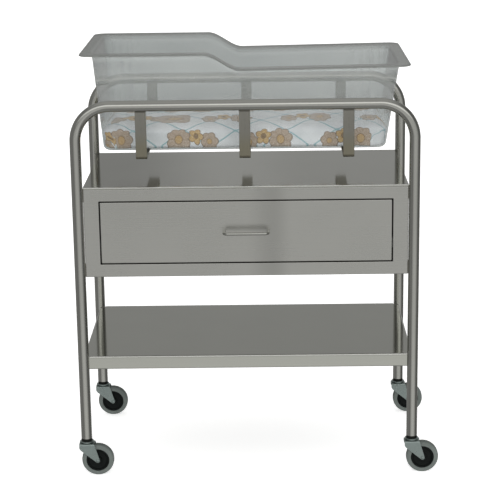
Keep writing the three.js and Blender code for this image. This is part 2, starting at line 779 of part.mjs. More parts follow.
// Outline of the walls' outside at a height, drawn in by an inset.
function wallOutline(z, inset) {
  const rise = z - tubFloor;
  return roundedOutline({
    low: inset - tubHalfX - (HEAD_DRAFT * rise) / HEAD_WALL,
    high: tubHalfX + (FOOT_DRAFT * rise) / FOOT_WALL - inset,
    halfY: tubHalfY + (SIDE_DRAFT * rise) / HEAD_WALL - inset,
    corner: TUB_CORNER - inset,
    sideStations: rimStations,
    endStations: [],
  });
}

function levelRing(z, inset) {
  return wallOutline(z, inset).map((p) => new THREE.Vector3(p.x, p.y, z));
}

// Ring on the walls that keeps a given drop below the stepped rim.
function wallTopRing(drop, inset) {
  return wallOutline(footRim, inset).map((p, i) => {
    const z = rimHeight(p.x) - drop;
    const onWall = wallOutline(z, inset)[i];
    return new THREE.Vector3(onWall.x, onWall.y, z);
  });
}

// Ring along the flange's outer edge, drawn in by an inset.
function rimRing(drop, inset) {
  const outline = roundedOutline({
    low: rimHeadX + inset,
    high: rimFootX - inset,
    halfY: rimHalfY - inset,
    corner: RIM_CORNER - inset,
    sideStations: rimStations,
    endStations: [],
  });
  return outline.map((p) => new THREE.Vector3(p.x, p.y, rimHeight(p.x) - drop));
}

// Rings round the floor's rounded edge, from the flat floor up to the wall.
function filletRings(floor, inset, radius) {
  return Array.from({ length: CORNER_STEPS }, (_, k) => {
    const angle = (Math.PI / 2) * (k / (CORNER_STEPS - 1));
    return levelRing(floor + radius * (1 - Math.cos(angle)), inset + radius * (1 - Math.sin(angle)));
  });
}

function makeTub() {
  const innerFillet = filletRings(tubFloor + TUB_WALL, TUB_WALL, TUB_FILLET - TUB_WALL);
  return loft([
    ...filletRings(tubFloor, 0, TUB_FILLET),
    wallTopRing(FLANGE_THICKNESS + TUB_SHOULDER, 0),
    wallTopRing(FLANGE_THICKNESS, -TUB_SHOULDER),
    rimRing(FLANGE_THICKNESS, RIM_EDGE),
    rimRing(FLANGE_THICKNESS - RIM_EDGE, 0),
    rimRing(RIM_EDGE, 0),
    rimRing(0, RIM_EDGE),
    wallTopRing(0, TUB_WALL - TUB_SHOULDER),
    wallTopRing(TUB_SHOULDER, TUB_WALL),
    ...innerFillet.reverse(),
  ]);
}

const tubPlace = new THREE.Group();
tubPlace.position.x = TUB_OFFSET;
bassinet.add(tubPlace);
addPiece(tubPlace, 'tub', makeTub(), clearPlastic);

// Mattress: flat underneath, rolled edges, sides drawn in between the corners and a crowned top

const MATTRESS_SIDE_STATIONS = 9;
const MATTRESS_END_STATIONS = 4;
const CROWN_RINGS = 4;
const ROLL_STEPS = 3;

function spacedBetween(half, count) {
  return Array.from({ length: count }, (_, k) => half * (-1 + (2 * (k + 1)) / (count + 1)));
}

function mattressRing(z, inset) {
  const halfX = mattressHalfX - inset;
  const halfY = mattressHalfY - inset;
  const outline = roundedOutline({
    low: -halfX,
    high: halfX,
    halfY,
    corner: mattressCorner,
    sideStations: spacedBetween(halfX - mattressCorner, MATTRESS_SIDE_STATIONS),
    endStations: spacedBetween(halfY - mattressCorner, MATTRESS_END_STATIONS),
  });
  return outline.map((p) => {
    const drawnX = MATTRESS_PULL_IN * Math.cos((Math.PI / 2) * (p.y / halfY)) ** 2;
    const drawnY = MATTRESS_PULL_IN * Math.cos((Math.PI / 2) * (p.x / halfX)) ** 2;
    return new THREE.Vector3(p.x * (1 - drawnX / halfX), p.y * (1 - drawnY / halfY), z);
  });
}

// Rings round a rolled edge, from the flat face out to the side.
// The way is 1 above a lower face and -1 below an upper one.
function rolledRings(face, radius, way) {
  return Array.from({ length: ROLL_STEPS + 1 }, (_, k) => {
    const angle = (Math.PI / 2) * (k / ROLL_STEPS);
    return mattressRing(face + way * radius * (1 - Math.cos(angle)), radius * (1 - Math.sin(angle)));
  });
}

function makeMattress() {
  const edgeTop = mattressBottom + MATTRESS_EDGE_HEIGHT;
  const reach = mattressHalfY - MATTRESS_ROUND - mattressCorner;
  const crown = Array.from({ length: CROWN_RINGS }, (_, k) => {
    const share = (k + 1) / CROWN_RINGS;
    const rise = MATTRESS_CROWN * (1 - (1 - share) ** 2);
    return mattressRing(edgeTop + rise, MATTRESS_ROUND + reach * share);
  });
  return loft([
    ...rolledRings(mattressBottom, mattressLowerRound, 1),
    ...rolledRings(edgeTop, MATTRESS_ROUND, -1).reverse(),
    ...crown,
  ]);
}

addPiece(tubPlace, 'mattress', makeMattress(), mattressCover);

// Origin on the floor, in the middle of the whole footprint.
const bounds = new THREE.Box3().setFromObject(bassinet);
const middle = bounds.getCenter(new THREE.Vector3());
bassinet.position.set(-middle.x, -middle.y, -bounds.min.z);

export default bassinet;
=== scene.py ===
import math

import bpy
import numpy as np
from mathutils import Matrix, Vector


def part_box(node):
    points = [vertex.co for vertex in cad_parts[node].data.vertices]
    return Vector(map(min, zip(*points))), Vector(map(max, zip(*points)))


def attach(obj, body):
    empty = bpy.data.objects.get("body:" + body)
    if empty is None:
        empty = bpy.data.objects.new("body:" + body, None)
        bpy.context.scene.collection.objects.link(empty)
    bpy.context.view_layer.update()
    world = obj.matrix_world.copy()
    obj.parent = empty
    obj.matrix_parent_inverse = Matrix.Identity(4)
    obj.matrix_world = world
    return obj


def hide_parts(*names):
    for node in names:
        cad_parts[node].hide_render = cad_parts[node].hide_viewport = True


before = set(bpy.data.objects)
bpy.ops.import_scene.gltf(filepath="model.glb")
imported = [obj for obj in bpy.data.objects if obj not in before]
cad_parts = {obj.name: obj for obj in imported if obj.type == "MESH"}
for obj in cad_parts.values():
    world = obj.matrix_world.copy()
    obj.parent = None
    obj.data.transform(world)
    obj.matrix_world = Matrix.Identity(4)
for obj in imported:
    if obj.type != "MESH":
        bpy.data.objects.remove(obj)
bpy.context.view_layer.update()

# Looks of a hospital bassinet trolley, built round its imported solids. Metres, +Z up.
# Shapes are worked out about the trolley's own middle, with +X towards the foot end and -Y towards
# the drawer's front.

front_low, front_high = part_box("front_hoop")
rear_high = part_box("rear_hoop")[1]
MIDDLE = np.array([
    (front_low.x + front_high.x) / 2,
    (front_low.y + rear_high.y) / 2,
    0.0,
])

# Hoops
TUBE_RADIUS = 0.0127
LEG_X = (front_high.x - front_low.x) / 2 - TUBE_RADIUS
LEG_Y = (rear_high.y - front_low.y) / 2 - TUBE_RADIUS
RAIL_Z = front_high.z - TUBE_RADIUS
TUBE_END_Z = front_low.z
HOOP_BEND = 0.080
SEAT = 0.0003
ENDS_Y = (("front", -LEG_Y), ("rear", LEG_Y))

# Cradle straps
STRAP_WIDTH = 0.0254
STRAP_THICKNESS = 0.0048
STRAP_SPACING = 0.236
STRAP_TOP_Z = RAIL_Z - 0.1182
STRAP_BEND = 0.0056
STRAP_TARNISH_Z = (STRAP_TOP_Z + 0.015, STRAP_TOP_Z + 0.065)

# Cabinet and drawer
SHEET = 0.0015
DECK_Z = RAIL_Z - 0.188
CABINET_BOTTOM_Z = DECK_Z - 0.212
CABINET_X = LEG_X - TUBE_RADIUS - SEAT
OPENING_X = CABINET_X - 0.0353
OPENING_TOP_Z = DECK_Z - 0.0328
OPENING_BOTTOM_Z = CABINET_BOTTOM_Z + 0.030
DECK_BEND = 0.0036
DECK_SKIRT = 0.0046
SKIRT_Z = DECK_Z - DECK_SKIRT - SEAT / 3
DRAWER_GAP = 0.0024
FRONT_THICKNESS = 0.016
FRONT_RETURN = 0.025
BOX_SHEET = 0.0012
BOX_X = OPENING_X - 0.0132
BOX_FRONT_Y = -LEG_Y + FRONT_THICKNESS + SEAT
BOX_BACK_Y = LEG_Y - SHEET - 0.025
BOX_BOTTOM_Z = OPENING_BOTTOM_Z + 0.006
BOX_TOP_Z = OPENING_TOP_Z - 0.022
PULL_RADIUS = 0.0035
PULL_X = 0.0508
PULL_REACH = 0.030
PULL_BEND = 0.009
PULL_Z = (OPENING_TOP_Z + OPENING_BOTTOM_Z) / 2 + 0.0024
# Low and high X of a painted dark reflection strip down the cabinet's front
REFLECTION_STRIP_X = (-0.030, 0.085)

# Lower shelf
SHELF_Z = 0.295
SHELF_LIP = 0.031
SHELF_X = LEG_X - 0.0007
SHELF_Y = LEG_Y + 0.0024
SHELF_BEND = 0.0028

# Casters
WHEEL_RADIUS = 0.0381
CASTER_TRAIL = 0.0254
FORK_TOP_Z = 0.080
FORK_SHEET = 0.0023
FORK_HALF_WIDTH = 0.0151
FORK_BACK = -0.0175
FORK_FRONT = 0.018
FORK_SHOULDER = 0.009
FORK_END = 0.005
FORK_BEND = 0.0045
RACE_BOTTOM_Z = FORK_TOP_Z + SEAT
RACE_TOP_Z = RACE_BOTTOM_Z + 0.0049
RACE_LEDGE_Z = RACE_TOP_Z - 0.0020
RACE_LOWER_RADIUS = 0.0135
RACE_UPPER_RADIUS = 0.0165
COLLAR_BOTTOM_Z = RACE_TOP_Z + SEAT
COLLAR_TOP_Z = COLLAR_BOTTOM_Z + 0.0055
PLUG_RADIUS = 0.0105
PLUG_LENGTH = 0.030
STEM_BORE = 0.0062
STEM_RADIUS = 0.0055
STEM_LENGTH = 0.035
STEM_TIP = 0.0008
KINGPIN_RADIUS = 0.0050
RIVET_RADIUS = 0.0074
RIVET_TOP_Z = FORK_TOP_Z - 0.0026
RIVET_BOTTOM_Z = FORK_TOP_Z - 0.0046
AXLE_SEAT = FORK_HALF_WIDTH + SEAT
AXLE_END = AXLE_SEAT + 0.0020

# Tub
TUB_WALL = 0.0032
TUB_FLOOR_Z = STRAP_TOP_Z + SEAT
TUB_FLOOR_X = 0.3285
TUB_OFFSET = np.array([-0.0022, 0.0, 0.0])
TUB_MIDDLE = MIDDLE + TUB_OFFSET
HEAD_WALL = 0.2329
FOOT_WALL = 0.1976
FOOT_RISE = 0.0048
HEAD_DRAFT = 0.0175
FOOT_DRAFT = 0.0285
SIDE_DRAFT = 0.038
HEAD_FLANGE = 0.026
FOOT_FLANGE = 0.0235
SIDE_FLANGE = 0.034
RIM_Y = LEG_Y - 0.005
RIM_STEP_START = -0.090
RIM_STEP_END = RIM_STEP_START + 0.084
RIM_CORNER = 0.028
FLANGE = 0.0038
TUB_SHOULDER = 0.006
TUB_CORNER = 0.025
TUB_FILLET = 0.011
TUB_FLOOR_Y = RIM_Y - SIDE_FLANGE - SIDE_DRAFT
HEAD_RIM_Z = TUB_FLOOR_Z + HEAD_WALL
FOOT_RIM_Z = TUB_FLOOR_Z + FOOT_WALL
RIM_HEAD_X = -TUB_FLOOR_X - HEAD_DRAFT - HEAD_FLANGE
RIM_FOOT_X = TUB_FLOOR_X + FOOT_DRAFT + FOOT_FLANGE

# Mattress
PAD_GAP = 0.0008
PAD_PRESS = 0.006
PAD_BOTTOM_Z = TUB_FLOOR_Z + TUB_WALL + SEAT
PAD_X = TUB_FLOOR_X - TUB_WALL + 0.001
PAD_Y = TUB_FLOOR_Y - TUB_WALL + 0.002
PAD_EDGE = 0.045
PAD_CROWN = 0.018
PAD_ROUND = 0.009
PAD_PULL_IN = 0.002
PAD_END_RISE = 0.014
PAD_TOP_Z = PAD_BOTTOM_Z + PAD_EDGE
PAD_VOXEL = 0.005
PAD_PRESSURE = 4.0
PAD_SWELL = 0.006
PAD_FRAMES = 20

# Print of the cover, on its flat layout
LATTICE_X = 0.118
LATTICE_Y = 0.0755
LATTICE_START = (0.042, -PAD_Y - 0.0374)
CLUSTER_PITCH = (0.185, 0.0755)
CLUSTER_OFFSET = (0.030, PAD_Y + 0.0585)
CLUSTER_SEED = 3.0
THREADS = 1500.0

# Blossoms of a cluster: place in its cell, radius, petals, depth of the scallops, and share of the heart
SMALL_BLOSSOM = (0.046, -0.004, 0.020, 6, 0.20, 0.30)
LARGE_BLOSSOM = (-0.026, 0.000, 0.027, 8, 0.18, 0.34)
BRIGHT_BLOSSOM = (0.014, 0.007, 0.018, 5, 0.34, 0.30)
TAN, PALE_TAN = (0.36, 0.28, 0.205), (0.44, 0.36, 0.28)
OCHRE, HONEY = (0.47, 0.31, 0.12), (0.52, 0.38, 0.19)
BROWN, TEAL = (0.17, 0.11, 0.065), (0.13, 0.34, 0.38)


# Surfaces

def grid_faces(rows, columns, wrap_rows=False):
    """Quads between closed rings of points: corners (i, j), (i, j+1), (i+1, j+1), (i+1, j).

    Each ring closes on itself, and the last ring joins the first where the rows wrap.
    """
    index = np.arange(rows * columns).reshape(rows, columns)
    if wrap_rows:
        index = np.vstack([index, index[:1]])
    index = np.hstack([index, index[:, :1]])
    corners = [index[:-1, :-1], index[:-1, 1:], index[1:, 1:], index[1:, :-1]]
    return np.stack(corners, axis=-1).reshape(-1, 4)


def enclosed_volume(points, groups):
    """Signed volume inside faces: the sum of the tetrahedra from the origin to each face's fan of triangles.

    The faces come in groups, each an array of faces with the same number of corners.
    """
    total = 0.0
    for faces in groups:
        corner = points[faces]
        fans = np.cross(corner[:, 1:-1], corner[:, 2:]).sum(axis=1)
        total += np.sum(corner[:, 0] * fans)
    return total / 6


def surface(name, grid, wrap_rows=False, capped=True, sharp=38, **marks):
    """Object of a grid of closed rings, with a flat face over its first and last ring where capped.

    The faces are turned outwards by the sign of the volume they enclose. Each mark is an array with a
    vector for every point of the grid, kept as an attribute of its name for the materials.
    """
    rows, columns = grid.shape[:2]
    points = grid.reshape(-1, 3) + MIDDLE
    groups = [grid_faces(rows, columns, wrap_rows)]
    if capped:
        ring = np.arange(columns)
        groups.append(np.stack([ring[::-1], ring + (rows - 1) * columns]))
    if enclosed_volume(points - points.mean(axis=0), groups) < 0:
        groups = [faces[:, ::-1] for faces in groups]
    mesh = bpy.data.meshes.new(name)
    mesh.from_pydata(points.tolist(), [], [face for faces in groups for face in faces.tolist()])
    mesh.validate()
    for label, values in marks.items():
        mark = mesh.attributes.new(label, "FLOAT_VECTOR", "POINT")
        mark.data.foreach_set("vector", np.ascontiguousarray(values, np.float32).ravel())
    mesh.shade_smooth()
    mesh.set_sharp_from_angle(angle=math.radians(sharp))
    piece = bpy.data.objects.new(name, mesh)
    bpy.context.scene.collection.objects.link(piece)
    return piece


def dress(piece, material, body, slot, *nodes):
    """Gives a piece its material, the body it rides on and the solids it stands for. Its slot is not used."""
    piece.data.materials.clear()
    piece.data.materials.append(material)
    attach(piece, body)
    if nodes:
        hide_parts(*nodes)
    return piece


def rounded_rectangle(half_u, half_v, corner, steps=4, margin=0.0008):
    """Anticlockwise outline: a quarter circle at each corner, and a point a margin along either side."""
    turn = np.linspace(0, np.pi / 2, steps + 1)
    arc = corner * np.stack([np.cos(turn), np.sin(turn)], axis=1)
    arc = np.vstack([arc[0] - (0, margin), arc, arc[-1] - (margin, 0)])
    quarter = np.array([[0, 1], [-1, 0]])
    spins = [np.linalg.matrix_power(quarter, k) for k in range(4)]
    signs = [(1, 1), (-1, 1), (-1, -1), (1, -1)]
    reach = np.array([half_u - corner, half_v - corner])
    return np.vstack([arc @ spin + sign * reach for spin, sign in zip(spins, signs)])


def edge_arc(level, inset, radius, start, stop, steps=4):
    """(level, inset) pairs round an edge: the circle about a given middle, from one angle to another."""
    angle = np.radians(np.linspace(start, stop, steps + 1))
    return np.stack([level + radius * np.sin(angle), inset - radius * np.cos(angle)], axis=1)


def axes_to(points, levels, normal):
    """Plane points and their levels as XYZ: levels along the given axis, the rest in cyclic order."""
    flat = np.concatenate([points, np.broadcast_to(levels, points.shape[:-1] + (1,))], axis=-1)
    order = {0: [2, 0, 1], 1: [1, 2, 0], 2: [0, 1, 2]}[normal]
    return flat[..., order]


def ring_stack(outline, profile, normal, centre):
    """Rings of an outline that is a function of its inset, one for each (level, inset) of the profile."""
    rings = np.stack([axes_to(outline(inset), level, normal) for level, inset in profile])
    return rings + np.asarray(centre)


def slab(name, low, high, normal, edge=0.0005, corner=0.0015):
    """Sheet or block between two corners: rounded rectangles along the normal, drawn in round its edges."""
    low, high = np.asarray(low), np.asarray(high)
    half = (high - low) / 2
    u, v = [(1, 2), (2, 0), (0, 1)][normal]
    thick = half[normal]
    support, least_corner = 0.0008, 0.0001
    profile = np.vstack([
        [(-thick, edge + support)],
        edge_arc(edge - thick, edge, edge, -90, 0),
        edge_arc(thick - edge, edge, edge, 0, 90),
        [(thick, edge + support)],
    ])

    def outline(inset):
        return rounded_rectangle(half[u] - inset, half[v] - inset, max(corner - inset, least_corner))

    return surface(name, ring_stack(outline, profile, normal, (low + high) / 2))


def bent_path(corners, bend, steps=24):
    """Points and tangents along straight runs joined by arcs of one radius at each corner."""
    corners = np.asarray(corners, float)
    heading = np.diff(corners, axis=0)
    heading /= np.linalg.norm(heading, axis=1)[:, None]
    points, tangents = [corners[:1]], [heading[:1]]
    for into, out, corner in zip(heading[:-1], heading[1:], corners[1:-1]):
        turn = np.arccos(np.clip(into @ out, -1, 1))
        inward = out - into * np.cos(turn)
        inward /= np.linalg.norm(inward)
        angle = np.linspace(0, turn, steps + 1)[:, None]
        start = corner - into * bend * np.tan(turn / 2)
        points.append(start + bend * (np.sin(angle) * into + (1 - np.cos(angle)) * inward))
        tangents.append(np.cos(angle) * into + np.sin(angle) * inward)
    points.append(corners[-1:])
    tangents.append(heading[-1:])
    return np.vstack(points), np.vstack(tangents)


def swept(name, section, corners, bend, across, end=0.0006):
    """A section carried along a bent path in one plane; its first axis points across the plane.

    Each end is drawn in by a small chamfer. The straightened place of a point, kept as its run, is the
    length so far and its place in the section.
    """
    points, tangents = bent_path(corners, bend)
    first, last = points[0] + tangents[0] * end, points[-1] - tangents[-1] * end
    points = np.vstack([points[0], first, points[1:-1], last, points[-1]])
    tangents = np.vstack([tangents[0], tangents[0], tangents[1:-1], tangents[-1], tangents[-1]])
    across = np.asarray(across, float)
    beside = np.cross(tangents, across)
    shrink = np.ones((len(points), 1, 1))
    smallest = np.linalg.norm(section, axis=1).min()
    shrink[0] = shrink[-1] = 1 - end / smallest
    shaped = section[None] * shrink
    grid = points[:, None] + shaped[..., :1] * across + shaped[..., 1:] * beside[:, None]
    gone = np.concatenate([[0], np.cumsum(np.linalg.norm(np.diff(points, axis=0), axis=1))])
    length = np.broadcast_to(gone[:, None, None], shaped.shape[:2] + (1,))
    return surface(name, grid, run=np.concatenate([length, shaped], axis=-1))


def circle(radius, sides):
    """Points of a circle, anticlockwise."""
    angle = np.linspace(0, 2 * np.pi, sides, endpoint=False)
    return radius * np.stack([np.cos(angle), np.sin(angle)], axis=1)


def softened(profile, radius, steps=4):
    """A polyline whose inner corners are cut back along both sides and joined by a quadratic curve.

    A corner is cut back by the radius, or by a share of its shorter side where that is less.
    """
    most = 0.45
    profile = np.asarray(profile, float)
    before, corner, after = profile[:-2], profile[1:-1], profile[2:]
    back, on = before - corner, after - corner
    back_length = np.linalg.norm(back, axis=1, keepdims=True)
    on_length = np.linalg.norm(on, axis=1, keepdims=True)
    reach = np.minimum(radius, most * np.minimum(back_length, on_length))
    start, stop = corner + back / back_length * reach, corner + on / on_length * reach
    t = np.linspace(0, 1, steps + 1)[None, :, None]
    curve = (1 - t) ** 2 * start[:, None] + 2 * t * (1 - t) * corner[:, None] + t ** 2 * stop[:, None]
    return np.vstack([profile[:1], curve.reshape(-1, 2), profile[-1:]])


def turned(name, profile, origin, axis, sides, closed=False):
    """A profile of (radius, height) turned about an axis through an origin, capped or closed on itself."""
    flat = profile[:, None, :1] * circle(1.0, sides)[None]
    rings = axes_to(flat, profile[:, None, 1:], axis)
    return surface(name, rings + np.asarray(origin), wrap_rows=closed, capped=not closed)


# Shading

# Range that most of a cloud's values lie in, and depths of the fine relief
CLOUD_RANGE = (0.3, 0.7)
STREAK_DEPTH = 0.0004
MOTTLE_DEPTH = 0.0003
THREAD_DEPTH = 0.0002

TARNISH_TINT = (0.97, 0.93, 0.80)
# Paler steel of the bends: edge wear, and a painted highlight line
RUBBED_HIGHLIT_STEEL = (0.86, 0.86, 0.83)


class Field:
    """A number that varies over a surface: sums, products and other steps on it become shader nodes."""

    def __init__(self, tree, socket):
        self.tree = tree
        self.socket = socket

    def step(self, operation, *others):
        node = self.tree.nodes.new("ShaderNodeMath")
        node.operation = operation
        self.tree.links.new(self.socket, node.inputs[0])
        for value, slot in zip(others, node.inputs[1:]):
            if isinstance(value, Field):
                self.tree.links.new(value.socket, slot)
            else:
                slot.default_value = value
        return Field(self.tree, node.outputs[0])

    def __add__(self, other):
        return self.step("ADD", other)

    def __sub__(self, other):
        return self.step("SUBTRACT", other)

    def __mul__(self, other):
        return self.step("MULTIPLY", other)

    def ramp(self, low, high, start=0.0, stop=1.0, smooth=True):
        """Goes from start to stop while the number goes from low to high."""
        node = self.tree.nodes.new("ShaderNodeMapRange")
        node.interpolation_type = "SMOOTHSTEP" if smooth else "LINEAR"
        self.tree.links.new(self.socket, node.inputs["Value"])
        node.inputs["From Min"].default_value = low
        node.inputs["From Max"].default_value = high
        node.inputs["To Min"].default_value = start
        node.inputs["To Max"].default_value = stop
        return Field(self.tree, node.outputs["Result"])


def new_finish(name, **sockets):
    """A material with a Principled shader whose plain values are set on its own sockets."""
    material = bpy.data.materials.new(name)
    material.use_nodes = True
    tree = material.node_tree
    shader = tree.nodes["Principled BSDF"]
    for key, value in sockets.items():
        shader.inputs[key.replace("_", " ")].default_value = value
    return material, tree, shader


def place_vector(tree, source="Object"):
    """Where a point is: on the object, or what one of the piece's own attributes says."""
    if source == "Object":
        return tree.nodes.new("ShaderNodeTexCoord").outputs["Object"]
    node = tree.nodes.new("ShaderNodeAttribute")
    node.attribute_name = source
    return node.outputs["Vector"]


def coordinates(tree, vector):
    """X, Y and Z of a vector, each a number that varies over the surface."""
    node = tree.nodes.new("ShaderNodeSeparateXYZ")
    tree.links.new(vector, node.inputs[0])
    return [Field(tree, node.outputs[axis]) for axis in "XYZ"]


def stretched(tree, vector, scale):
    """The same place with each axis scaled, so that a pattern streaks along the least scaled one."""
    node = tree.nodes.new("ShaderNodeMapping")
    node.inputs["Scale"].default_value = scale
    tree.links.new(vector, node.inputs["Vector"])
    return node.outputs["Vector"]


def cloud(tree, vector, scale, detail=3.0, roughness=0.5):
    """Smooth noise from 0 to 1."""
    node = tree.nodes.new("ShaderNodeTexNoise")
    node.inputs["Scale"].default_value = scale
    node.inputs["Detail"].default_value = detail
    node.inputs["Roughness"].default_value = roughness
    tree.links.new(vector, node.inputs["Vector"])
    return Field(tree, node.outputs["Fac"])


def blended(tree, share, first, second):
    """Colour between two, which are plain colours or sockets, by a share from 0 to 1."""
    node = tree.nodes.new("ShaderNodeMix")
    node.data_type = "RGBA"
    tree.links.new(share.socket, node.inputs["Factor"])
    for value, slot in ((first, node.inputs[6]), (second, node.inputs[7])):
        if isinstance(value, bpy.types.NodeSocket):
            tree.links.new(value, slot)
        else:
            slot.default_value = (*value, 1.0)
    return node.outputs[2]


def roughen(tree, shader, height, strength, distance):
    """Fine relief of the surface from a height that varies over it."""
    node = tree.nodes.new("ShaderNodeBump")
    node.inputs["Strength"].default_value = strength
    node.inputs["Distance"].default_value = distance
    tree.links.new(height.socket, node.inputs["Height"])
    tree.links.new(node.outputs["Normal"], shader.inputs["Normal"])


def tinted(colour, factor):
    """A colour times a factor, or times one for each of its channels, with none past 1."""
    return tuple(np.minimum(np.asarray(colour) * factor, 1))


def steel(
    name, colour, roughness, streak, spread, relief, source="Object", tarnish=None, painted_reflection_strip=None, worn_and_lit_edges=False,
):
    """Brushed or polished metal: streaks of tone, gloss and relief along the least scaled axis, and smears.

    Tarnish is a low and a high height between which the metal goes browner downwards. A painted reflection
    strip is a darker upright strip, soft at its sides, between a low and a high X: a painted dark reflection.
    Worn and lit edges are paler and duller where the X of the piece's own edge attribute is 1, as edge wear
    and a painted highlight line, and a painted lighter shade where its Y is, for light that the lip catches.
    """
    material, tree, shader = new_finish(name, Metallic=1.0)
    where = place_vector(tree, source)
    lines = cloud(tree, stretched(tree, where, streak), 1.0, 6.0, 0.65)
    smears = cloud(tree, where, 7.0, 4.0)
    tone = (lines * 0.4 + smears * 0.6).ramp(*CLOUD_RANGE, smooth=False)
    paint = blended(tree, tone, tinted(colour, 1 - spread), tinted(colour, 1 + spread))
    gloss = (lines * 0.5 + smears * 0.5).ramp(*CLOUD_RANGE, roughness * 0.8, roughness * 1.2, smooth=False)
    if tarnish:
        height = coordinates(tree, place_vector(tree))[2]
        paint = blended(tree, height.ramp(*tarnish, 1.0, 0.0), paint, tinted(colour, TARNISH_TINT))
    # Painted reflection: a darker upright strip standing for the dark reflection of something in front
    if painted_reflection_strip:
        across = coordinates(tree, place_vector(tree))[0]
        low, high = painted_reflection_strip
        peak = low + 0.6 * (high - low)
        strip = across.ramp(low, peak) * across.ramp(peak, high, 1.0, 0.0)
        paint = blended(tree, strip * 0.85, paint, tinted(colour, 0.82))
    # Bend paler and duller, as edge wear and a painted highlight line; lip a lighter shade, as painted light
    if worn_and_lit_edges:
        rubbed_and_highlit, painted_lit_lip, _ = coordinates(tree, place_vector(tree, "edge"))
        paint = blended(tree, painted_lit_lip, paint, tinted(colour, 1.25))
        paint = blended(tree, rubbed_and_highlit, paint, RUBBED_HIGHLIT_STEEL)
        gloss = gloss + rubbed_and_highlit * 0.30
    tree.links.new(paint, shader.inputs["Base Color"])
    tree.links.new(gloss.socket, shader.inputs["Roughness"])
    roughen(tree, shader, lines, relief, STREAK_DEPTH)
    return material


def mottled(name, colour, roughness, scale, spread=0.15, relief=0.08, **sockets):
    """Cast, plated or moulded finish: a fine mottle of tone and gloss with a little relief."""
    material, tree, shader = new_finish(name, **sockets)
    where = place_vector(tree)
    fine = cloud(tree, where, scale, 5.0, 0.6)
    broad = cloud(tree, where, scale / 12, 3.0)
    tone = (fine * 0.5 + broad * 0.5).ramp(*CLOUD_RANGE, smooth=False)
    paint = blended(tree, tone, tinted(colour, 1 - spread), tinted(colour, 1 + spread))
    tree.links.new(paint, shader.inputs["Base Color"])
    gloss = broad.ramp(*CLOUD_RANGE, roughness - 0.07, roughness + 0.07, smooth=False)
    tree.links.new(gloss.socket, shader.inputs["Roughness"])
    roughen(tree, shader, fine, relief, MOTTLE_DEPTH)
    return material


# How much each axis is scaled for streaks along the trolley, across it, and along a bent bar
ALONG_X = (3.0, 420.0, 420.0)
ALONG_Y = (420.0, 3.0, 420.0)
ALONG_BAR = (4.0, 500.0, 500.0)

panel_steel = steel(
    "panel_steel", (0.56, 0.56, 0.53), 0.29, ALONG_X, spread=0.05, relief=0.006, painted_reflection_strip=REFLECTION_STRIP_X,
)
deck_steel = steel("deck_steel", (0.53, 0.535, 0.49), 0.09, ALONG_X, spread=0.03, relief=0.004, worn_and_lit_edges=True)
shelf_steel = steel("shelf_steel", (0.475, 0.48, 0.44), 0.09, ALONG_X, spread=0.03, relief=0.004, worn_and_lit_edges=True)
side_steel = steel("side_steel", (0.56, 0.56, 0.53), 0.25, ALONG_Y, spread=0.05, relief=0.02)
tube_steel = steel(
    "tube_steel", (0.55, 0.55, 0.515), 0.20, ALONG_BAR, source="run", spread=0.05, relief=0.01,
)
strap_steel = steel(
    "strap_steel", (0.305, 0.298, 0.266), 0.30, ALONG_BAR, source="run", spread=0.06, relief=0.02,
    tarnish=STRAP_TARNISH_Z,
)
weld_steel = mottled("weld_steel", (0.26, 0.25, 0.22), 0.42, 900.0, Metallic=1.0)
zinc_plate = mottled("zinc_plate", (0.32, 0.375, 0.36), 0.30, 700.0, Metallic=0.92)
galvanised = mottled("galvanised", (0.50, 0.52, 0.51), 0.45, 260.0, Metallic=0.9)
collar_plastic = mottled("collar_plastic", (0.006, 0.007, 0.006), 0.42, 800.0, Specular_IOR_Level=0.15)
hub_plastic = mottled("hub_plastic", (0.005, 0.0065, 0.006), 0.40, 800.0, Specular_IOR_Level=0.12)
tyre_rubber = mottled("tyre_rubber", (0.115, 0.13, 0.122), 0.68, 600.0, relief=0.15, Specular_IOR_Level=0.12)


